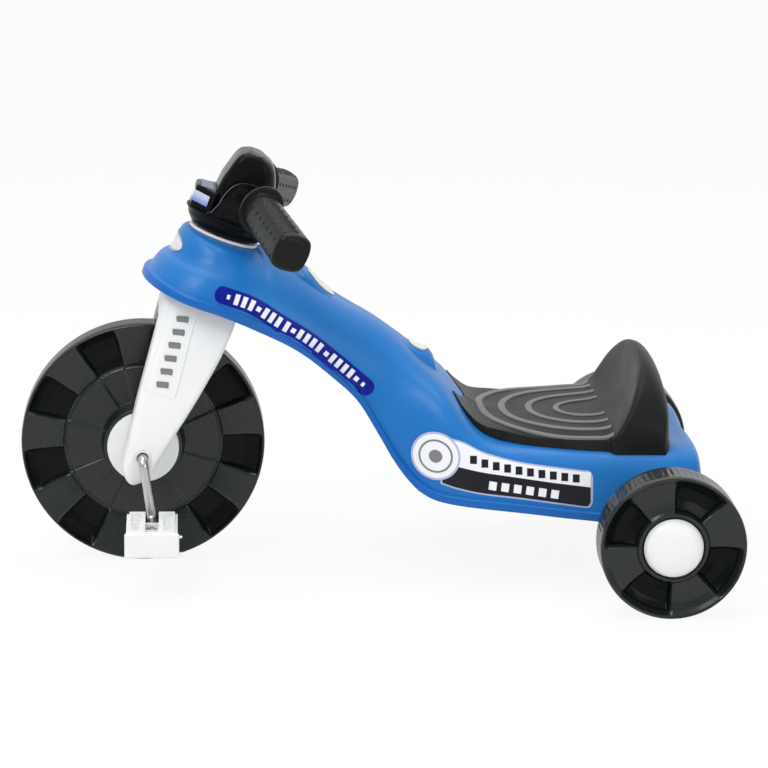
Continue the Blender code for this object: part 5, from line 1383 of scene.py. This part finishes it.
# Cover of the console: the prow that carries the headlight, and the hump over the saddle
PROW_TOP = 0.0405
PROW_FRONT = -0.0435
PROW_NOSE = 0.0165
PROW_EDGE = 0.0022
COVER_BASE = BOWL_RIM_Z + GAP


def prow_outline(inset, z):
    front, corner_x, half = PROW_FRONT + inset, -0.0235 + inset * 0.4, 0.0345 - inset
    nose = PROW_NOSE - inset * 0.4
    rear_half = COVER_HALF_WIDTH - inset
    left = [(front, -nose), (corner_x, -half), (-0.0195, -rear_half),
            (0.0200, -rear_half), (0.0300 - inset, -rear_half * 0.45)]
    right = [(x, -y) for x, y in reversed(left)]
    corners = [Vector(p) for p in left + right]
    return [Vector((p.x, p.y, z)) for p in rounded(corners, PROW_EDGE, 4, True)]


def hump_section(x_front, x_rear, half, z):
    depth = x_rear - x_front
    left = [(x_front, -half * 0.84), (x_front + min(0.004, depth * 0.2), -half),
            (x_rear - min(0.0085, depth * 0.3), -half),
            (x_rear - min(0.0022, depth * 0.1), -half * 0.72), (x_rear, -half * 0.38)]
    right = [(x, -y) for x, y in reversed(left)]
    corners = [Vector(p) for p in left + right]
    return [Vector((p.x, p.y, z)) for p in rounded(corners, 0.004, 4, True)]


# The hump (height, front, rear, half width)
HUMP_ROWS = 33
HUMP = ((0.0220, -0.0255, 0.0298, 0.0300), (0.0565, -0.0218, 0.0300, 0.0300),
        (0.0590, -0.0211, 0.0335, 0.0300), (0.0640, -0.0196, 0.0325, 0.0298),
        (0.0770, -0.0158, 0.0275, 0.0292), (0.0845, -0.0118, 0.0210, 0.0276),
        (0.0885, -0.0050, 0.0120, 0.0235))


def make_cover():
    rows = [prow_outline(0, COVER_BASE), prow_outline(0, PROW_TOP - PROW_EDGE)]
    for k in range(1, 5):
        turn = math.pi / 2 * k / 4
        inwards = 1 - math.cos(turn)
        shift = Vector((0.0008 * inwards, 0, PROW_EDGE * math.sin(turn)))
        rows.append([p + shift for p in prow_outline(0.0020 * inwards, PROW_TOP - PROW_EDGE)])
    cover = loose_object("console_shell", grid_mesh(rows, True, True), STEERING)
    hump = []
    for i in range(HUMP_ROWS + 1):
        z = HUMP[0][0] + (HUMP[-1][0] - HUMP[0][0]) * (1 - (1 - i / HUMP_ROWS) ** 1.6)
        x_front, x_rear, half = eased(HUMP, z)
        hump.append(hump_section(x_front, x_rear, half, z))
    carve(cover, grid_mesh(hump, True, True), "UNION")
    soften(cover, 0.0012, 3, 55)
    fit(cover, CONSOLE_BLACK, "steering", "black_console", "console_cover")


make_cover()


LAMP_LOW = 0.0236
LAMP_HIGH = 0.0345


def make_headlight():
    rings = []
    for i in range(9):
        share = i / 8
        z = LAMP_LOW + (LAMP_HIGH - LAMP_LOW) * share
        grow = 0.0001 + 0.0006 * min(1.0, share * 5, (1 - share) * 5)
        outer = [(-0.0280, 0.0304 + grow), (PROW_FRONT - grow, PROW_NOSE + grow * 0.4)]
        inner = [(-0.0423, 0.0158), (-0.0276, 0.0290)]
        ring = outer + [(x, -y) for x, y in reversed(outer)]
        ring += [(x, -y) for x, y in reversed(inner)] + inner
        rings.append([Vector((x, y, z)) for x, y in ring])
    bm = grid_mesh(rings, True, True)
    deep = bm.verts.layers.float.new("deep")
    for vert in bm.verts:
        vert[deep] = max(0.0, 0.85 - (vert.co.z - LAMP_LOW) / 0.008)
    piece("headlight_film", bm, STEERING, LENS_SILVER, "steering", "silver_lens", "headlight_lens")
    thickness = 0.0003
    top = box_shape((0.0125, 0.0420, thickness), (-0.0325, 0, PROW_TOP + thickness), 0.0001, 1)
    piece("headlight_top_film", top, STEERING, PROW_FILM, "steering", "silver_lens")


make_headlight()


# Grips: rounded square section, with raised dots and finger ribs
DOT_TURNS = (0.30, 0.95, 1.75, 2.45, 3.40, 4.00, 5.20, 5.80)
DOTS = [(0.018 + 0.0125 * k + 0.006 * (row % 2), turn)
        for row, turn in enumerate(DOT_TURNS) for k in range(7)]
DOT_HEIGHT = 0.0011
DOT_SPREAD = 0.0015
RIBBED_TURN = 1.35
RIBBED_REACH = 0.32
RIB_PITCH = 0.0046
GRIP_BODY = 0.014
GRIP_POINTS = 112


def turn_between(first, second):
    return abs((first - second + math.pi) % (2 * math.pi) - math.pi)


def grip_rows(length):
    """Rings from the hand guard to the end: distance along, radius, share of a round disc."""
    disc, grip = GRIP_DISC_RADIUS, GRIP_RADIUS
    rows = [(0, disc - 0.0012, 1.0), (0.0005, disc - 0.0003, 1.0), (0.0012, disc, 1.0),
            (GRIP_DISC - 0.0008, disc, 1.0), (GRIP_DISC - 0.0001, disc - 0.0008, 1.0),
            (GRIP_DISC + 0.0003, grip + 0.0006, 0.7), (GRIP_DISC + 0.002, grip - 0.0004, 0.4),
            (GRIP_DISC + 0.006, grip - 0.0010, 0.1), (GRIP_BODY, grip - 0.0008, 0)]
    distance = GRIP_BODY
    while distance < length - 0.0085:
        distance += 0.0008
        share = (distance - GRIP_BODY) / (length - GRIP_BODY)
        rows.append((distance, grip - 0.0008 + 0.0018 * share, 0))
    for k in range(1, 9):
        turn = math.pi / 2 * k / 8
        rows.append((distance + (length - distance) * math.sin(turn),
                     grip + 0.0010 - 0.0070 * (1 - math.cos(turn)) ** 1.2, 0))
    return rows


def grip_swell(distance, turn, radius):
    """How far dots and finger ribs stand out at a place of the grip."""
    swell = 0.0
    reach = 3 * DOT_SPREAD
    for far, dot_turn in DOTS:
        if abs(far - distance) < reach:
            gap = turn_between(turn, dot_turn) * radius
            if gap < reach:
                apart = gap * gap + (far - distance) ** 2
                swell += DOT_HEIGHT * math.exp(-apart / DOT_SPREAD ** 2)
    if turn_between(turn, RIBBED_TURN) < RIBBED_REACH:
        swell += 0.0010 * (0.5 + 0.5 * math.cos(2 * math.pi * distance / RIB_PITCH))
    return swell


def make_grip(side, side_name):
    start, along = grip_axis(side)
    up = Vector((0, 0, 1)) - along * along.z
    up.normalize()
    across = along.cross(up)
    length = (GRIP_END - GRIP_START).length
    rings = []
    for distance, radius, disc in grip_rows(length):
        ring = []
        for i in range(GRIP_POINTS):
            turn = 2 * math.pi * (i + 0.5) / GRIP_POINTS
            c, s = math.cos(turn), math.sin(turn)
            square = 1 + (1 / (abs(c) ** 5 + abs(s) ** 5) ** 0.2 - 1) * 0.55
            size = radius * (square * (1 - disc) + disc)
            point = across * (size * c * 0.96) + up * (size * s * (1.0 + 0.10 * disc))
            bare = disc or distance >= length - 0.010
            swell = 0.0 if bare else grip_swell(distance, turn, radius)
            ring.append(start + along * distance + point + point.normalized() * swell)
        rings.append(ring)
    grip = loose_object(f"dotted_grip_{side_name}", grid_mesh(rings, True, True), STEERING, 50)
    carve(grip, rod_shape(STUB_RADIUS + GAP, start - along * 0.010, start + along * 0.087, 28))
    fit(grip, GRIP_VINYL, "steering", "vinyl_grip", f"grip_{side_name}")


for side, side_name in SIDES:
    make_grip(side, side_name)


# Printed films, left plain or with generic marks. Sheets that lie on others are lifted over them.
FILM_THICKNESS = 0.0001


def side_ray(x, z, side):
    return Vector((x, side * 0.30, z)), Vector((0, -side, 0))


def strip_rays(line, half, side, across, round_ends=False):
    """Rays over a strip that follows a line of (x, z) places."""
    lengths = [0.0]
    for a, b in zip(line, line[1:]):
        lengths.append(lengths[-1] + (b - a).length)
    rays = []
    for k, point in enumerate(line):
        ahead = line[min(k + 1, len(line) - 1)] - line[max(k - 1, 0)]
        normal = Vector((-ahead.y, ahead.x)).normalized()
        near = min(lengths[k], lengths[-1] - lengths[k])
        width = half
        if round_ends and near < half:
            width = math.sqrt(max(0.0, half * half - (half - near) ** 2))
        places = [point + normal * width * (-1 + 2 * j / across) for j in range(across + 1)]
        rays.append([side_ray(place.x, place.y, side) for place in places])
    return rays


# The pill along the neck (x, z), and its marks: every fifth is low, the first and last are short
PILL_LINE = ((0.0806, 0.2945), (0.1092, 0.2838), (0.1379, 0.2652), (0.1668, 0.2464),
             (0.1957, 0.2226), (0.2257, 0.1971))
PILL_HALF = 0.0085
PILL_POINTS = 121
PILL_MARKS = 21
MARK_FIRST = 9
MARK_PITCH = 5.15
MARK_HALF = 0.0054
LOW_MARK_HALF = 0.0024
SHORT_MARK_HALF = 0.0022


def make_pill(side, side_name):
    line = curve_through([Vector(place) for place in PILL_LINE], 12)
    line[0] = line[0] + (line[0] - line[1]).normalized() * PILL_HALF
    line[-1] = line[-1] + (line[-1] - line[-2]).normalized() * PILL_HALF
    line = resampled(line, PILL_POINTS, 0.0)
    skin_patch(f"neck_film_{side_name}", strip_rays(line, PILL_HALF, side, 8, True), 0.00005,
               0.0003, FILM_BLUE, "blue_shell")
    for n in range(PILL_MARKS):
        centre = MARK_FIRST + n * MARK_PITCH
        if n in (0, PILL_MARKS - 1):
            first, points, half = round(centre - 1.0), 3, SHORT_MARK_HALF
        else:
            first, points, half = round(centre - 1.6), 4, LOW_MARK_HALF if n % 5 == 4 else MARK_HALF
        skin_patch(f"neck_mark_{side_name}_{n + 1}",
                   strip_rays(line[first:first + points], half, side, 4),
                   0.00035, 0.00015, FILM_WHITE, "white_plastic")


for side, side_name in SIDES:
    make_pill(side, side_name)


# Side film: a disc joined to a band that is white above and black below. Its lines (x, z)
BAND_TOP = ((0.3000, 0.1538), (0.3186, 0.1502), (0.3434, 0.1390), (0.3807, 0.1304),
            (0.4150, 0.1267), (0.4425, 0.1243))
BAND_MIDDLE = ((0.3000, 0.1262), (0.3152, 0.1228), (0.3434, 0.1175), (0.3807, 0.1130),
               (0.4150, 0.1092), (0.4493, 0.1063))
BAND_LOW = ((0.2989, 0.1058), (0.3160, 0.1012), (0.3402, 0.0972), (0.3807, 0.0935),
            (0.4150, 0.0900), (0.4435, 0.0872))
# Sheets of the band: lower and upper line, start, end, rounding of the far corners, inset, lift
BAND_SHEETS = (
    ("edge", BAND_LOW, BAND_TOP, 0.3000, 0.4518, 0.006, 0.0, 0.00005,
     FILM_LAVENDER, "white_plastic"),
    ("black", BAND_LOW, BAND_TOP, 0.3020, 0.4495, 0.004, 0.0017, 0.00037,
     FILM_BLACK, "black_console"),
    ("white", BAND_MIDDLE, BAND_TOP, 0.3020, 0.4496, 0.0, 0.0016, 0.00050,
     FILM_WHITE, "white_plastic"),
)
# Discs one on another: radius, lift
ROUND_CENTRE = (0.2954, 0.1330)
ROUND_SHEETS = (
    ("edge", 0.0243, 0.00064, FILM_LAVENDER), ("white", 0.0221, 0.00084, FILM_WHITE),
    ("ring", 0.0168, 0.00100, MARK_GREY), ("inner", 0.0148, 0.00116, FILM_WHITE),
    ("dot", 0.0065, 0.00132, MARK_GREY),
)
# Rows of marks on the band: how many, first x, pitch, half length, half height, fall over the
# half length, the lines they lie midway between, lift
BAND_MARKS = (
    ("mark", 10, 0.3325, 0.0114, 0.0034, 0.0040, 0.0, BAND_MIDDLE, BAND_TOP, 0.00064,
     FILM_BLACK, "black_console"),
    ("bar", 6, 0.352, 0.0124, 0.0038, 0.0042, 0.0005, BAND_LOW, BAND_MIDDLE, 0.00050,
     FILM_WHITE, "white_plastic"),
)


def band_rays(low_line, high_line, start, end, close, inset, side, steps=70, across=10):
    """Rays between two lines of (x, z) places, with the corners at the end rounded by close."""
    rays = []
    for i in range(steps + 1):
        x = start + (end - start) * i / steps
        low, high = eased(low_line, x)[0] + inset, eased(high_line, x)[0] - inset
        left = end - x
        if left < close:
            pull = close - math.sqrt(max(0.0, close * close - (close - left) ** 2))
            low, high = low + pull, high - pull
        rays.append([side_ray(x, low + (high - low) * j / across, side) for j in range(across + 1)])
    return rays


def make_side_film(side, side_name):
    for label, low, high, start, end, close, inset, lift, material, slot in BAND_SHEETS:
        skin_patch(f"side_film_{label}_{side_name}",
                   band_rays(low, high, start, end, close, inset, side),
                   lift, FILM_THICKNESS, material, slot)
    for label, radius, lift, material in ROUND_SHEETS:
        rays = [[side_ray(ROUND_CENTRE[0] + radius * u, ROUND_CENTRE[1] + radius * v, side)
                 for u, v in row] for row in oval_grid(28, 16)]
        skin_patch(f"side_film_round_{label}_{side_name}", rays, lift, FILM_THICKNESS, material,
                   "white_plastic")
    for (label, count, first_x, pitch, half_length, half_height, fall, low, high, lift,
         material, slot) in BAND_MARKS:
        for n in range(count):
            x = first_x + n * pitch
            middle = (eased(low, x)[0] + eased(high, x)[0]) / 2
            line = [Vector((x + half_length * along, middle - fall * along))
                    for along in (-1, -0.5, 0, 0.5, 1)]
            skin_patch(f"side_{label}_{side_name}_{n + 1}", strip_rays(line, half_height, side, 4),
                       lift, FILM_THICKNESS, material, slot)


for side, side_name in SIDES:
    make_side_film(side, side_name)


# Plain silver oval on the front of the head
PLATE_Z = -0.0236
PLATE_HALF_HEIGHT = 0.0100
PLATE_HALF_TURN = math.radians(42)


def make_head_plate():
    rays = []
    for row in oval_grid(40, 12, 2.6):
        turn = PLATE_HALF_TURN * row[0][0]
        inward = TILT @ Vector((math.cos(turn), math.sin(turn), 0))
        rays.append([(on_steering(0, 0, PLATE_Z + PLATE_HALF_HEIGHT * v) - inward * 0.2, inward)
                     for _, v in row])
    skin_patch("head_plate", rays, -0.0003, 0.0009, SILVER_FILM, "silver_lens", border=2)


make_head_plate()

# Small or hidden nodes, whose solids are shown as they are
KEPT = (
    (WHITE, ("head_spacer", "rear_bush_left", "rear_bush_right")),
    (ZINC, ("rear_axle", "steering_bolt", "steering_washer", "axle_washer_left",
            "axle_washer_right", "push_nut_left", "push_nut_right",
            *(f"seat_screw_{n}" for n in (1, 2, 3, 4)))),
    (WHEEL_BLACK, ("axle_sleeve",)),
)
for material, names in KEPT:
    for name in names:
        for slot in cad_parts[name].material_slots:
            slot.material = material


# Floor, light and camera
BACKDROP_GLOW = 0.91
LAMPS = (
    ("key_softbox", (-1.1, -1.3, 2.1), (0, 0, 0.15), 1.1, 30),
    ("fill_softbox", (1.7, -2.2, 1.0), (0.05, 0, 0.15), 1.2, 14),
    ("top_softbox", (0.1, 0.3, 2.2), (0, 0, 0.1), 1.5, 22),
)


def blend_shaders(tree, share, first, second, output):
    both = add(tree, "ShaderNodeMixShader", {0: share, 1: first.outputs[0], 2: second.outputs[0]})
    add(tree, output, {"Surface": both.outputs[0]})


def make_floor():
    """Paper that glows as white to the camera as the backdrop, and still takes soft shadows."""
    mesh = bmesh.new()
    bmesh.ops.create_grid(mesh, x_segments=1, y_segments=1, size=6)
    floor = loose_object("studio_floor", mesh, Matrix.Translation((0, 0, -0.0002)))
    paper = bpy.data.materials.new("studio_paper")
    paper.use_nodes = True
    tree = paper.node_tree
    tree.nodes.clear()
    path = add(tree, "ShaderNodeLightPath").outputs
    seen = sums(tree, "MAXIMUM", path["Is Camera Ray"], path["Is Glossy Ray"])
    seen = sums(tree, "MAXIMUM", seen, path["Is Transmission Ray"])
    matt = add(tree, "ShaderNodeBsdfDiffuse", {"Color": (0.86, 0.86, 0.86, 1)})
    bright = add(tree, "ShaderNodeEmission", {"Color": (1, 1, 1, 1), "Strength": 1.0})
    blend_shaders(tree, sums(tree, "MULTIPLY", seen, BACKDROP_GLOW), matt, bright,
                  "ShaderNodeOutputMaterial")
    floor.data.materials.append(paper)


def make_world():
    """White to the camera and in reflections from behind, else a soft light from overhead."""
    world = bpy.data.worlds.new("studio")
    bpy.context.scene.world = world
    world.use_nodes = True
    tree = world.node_tree
    tree.nodes.clear()
    path = add(tree, "ShaderNodeLightPath").outputs
    seen = sums(tree, "MAXIMUM", path["Is Camera Ray"], path["Is Transmission Ray"])
    way = add(tree, "ShaderNodeTexCoord").outputs["Generated"]
    parts = add(tree, "ShaderNodeSeparateXYZ", {"Vector": way}).outputs
    behind = ranged(tree, parts["Y"], -0.30, 0.35)
    mirrored = sums(tree, "MULTIPLY", path["Is Glossy Ray"], behind)
    overhead = ranged(tree, parts["Z"], -0.2, 0.9, 0.30, 0.75)
    soft = add(tree, "ShaderNodeBackground", {"Color": (0.93, 0.96, 1.0, 1), "Strength": overhead})
    white = add(tree, "ShaderNodeBackground", {"Color": (1, 1, 1, 1), "Strength": 1.0})
    blend_shaders(tree, sums(tree, "MAXIMUM", seen, mirrored), soft, white, "ShaderNodeOutputWorld")


def make_lamps():
    for name, spot, aim, size, power in LAMPS:
        lamp = bpy.data.lights.new(name, "AREA")
        lamp.shape = "SQUARE"
        lamp.size = size
        lamp.energy = power
        obj = bpy.data.objects.new(name, lamp)
        bpy.context.scene.collection.objects.link(obj)
        obj.location = spot
        obj.rotation_euler = (Vector(aim) - Vector(spot)).to_track_quat("-Z", "Y").to_euler()


def make_camera():
    """The photo's camera, as fitted to the wheels' outlines."""
    azimuth, height, roll = math.radians(-3.61), math.radians(13.77), math.radians(0.75)
    distance, lens = 3.5, 158.7
    target = Vector((0.2483 + DATUM_X, 0, 0.1829))
    back = Vector((math.sin(azimuth) * math.cos(height), -math.cos(azimuth) * math.cos(height),
                   math.sin(height)))
    level = Vector((math.cos(azimuth), math.sin(azimuth), 0))
    upright = back.cross(level)
    right = level * math.cos(roll) + upright * math.sin(roll)
    up = upright * math.cos(roll) - level * math.sin(roll)
    camera = bpy.data.cameras.new("photo_camera")
    camera.lens = lens
    camera.sensor_width = 36
    camera.clip_end = 50
    obj = bpy.data.objects.new("photo_camera", camera)
    bpy.context.scene.collection.objects.link(obj)
    turn = Matrix((right, up, back)).transposed().to_4x4()
    obj.matrix_world = Matrix.Translation(target + back * distance) @ turn
    bpy.context.scene.camera = obj


make_floor()
make_world()
make_lamps()
make_camera()
bpy.context.scene.view_settings.view_transform = "Standard"
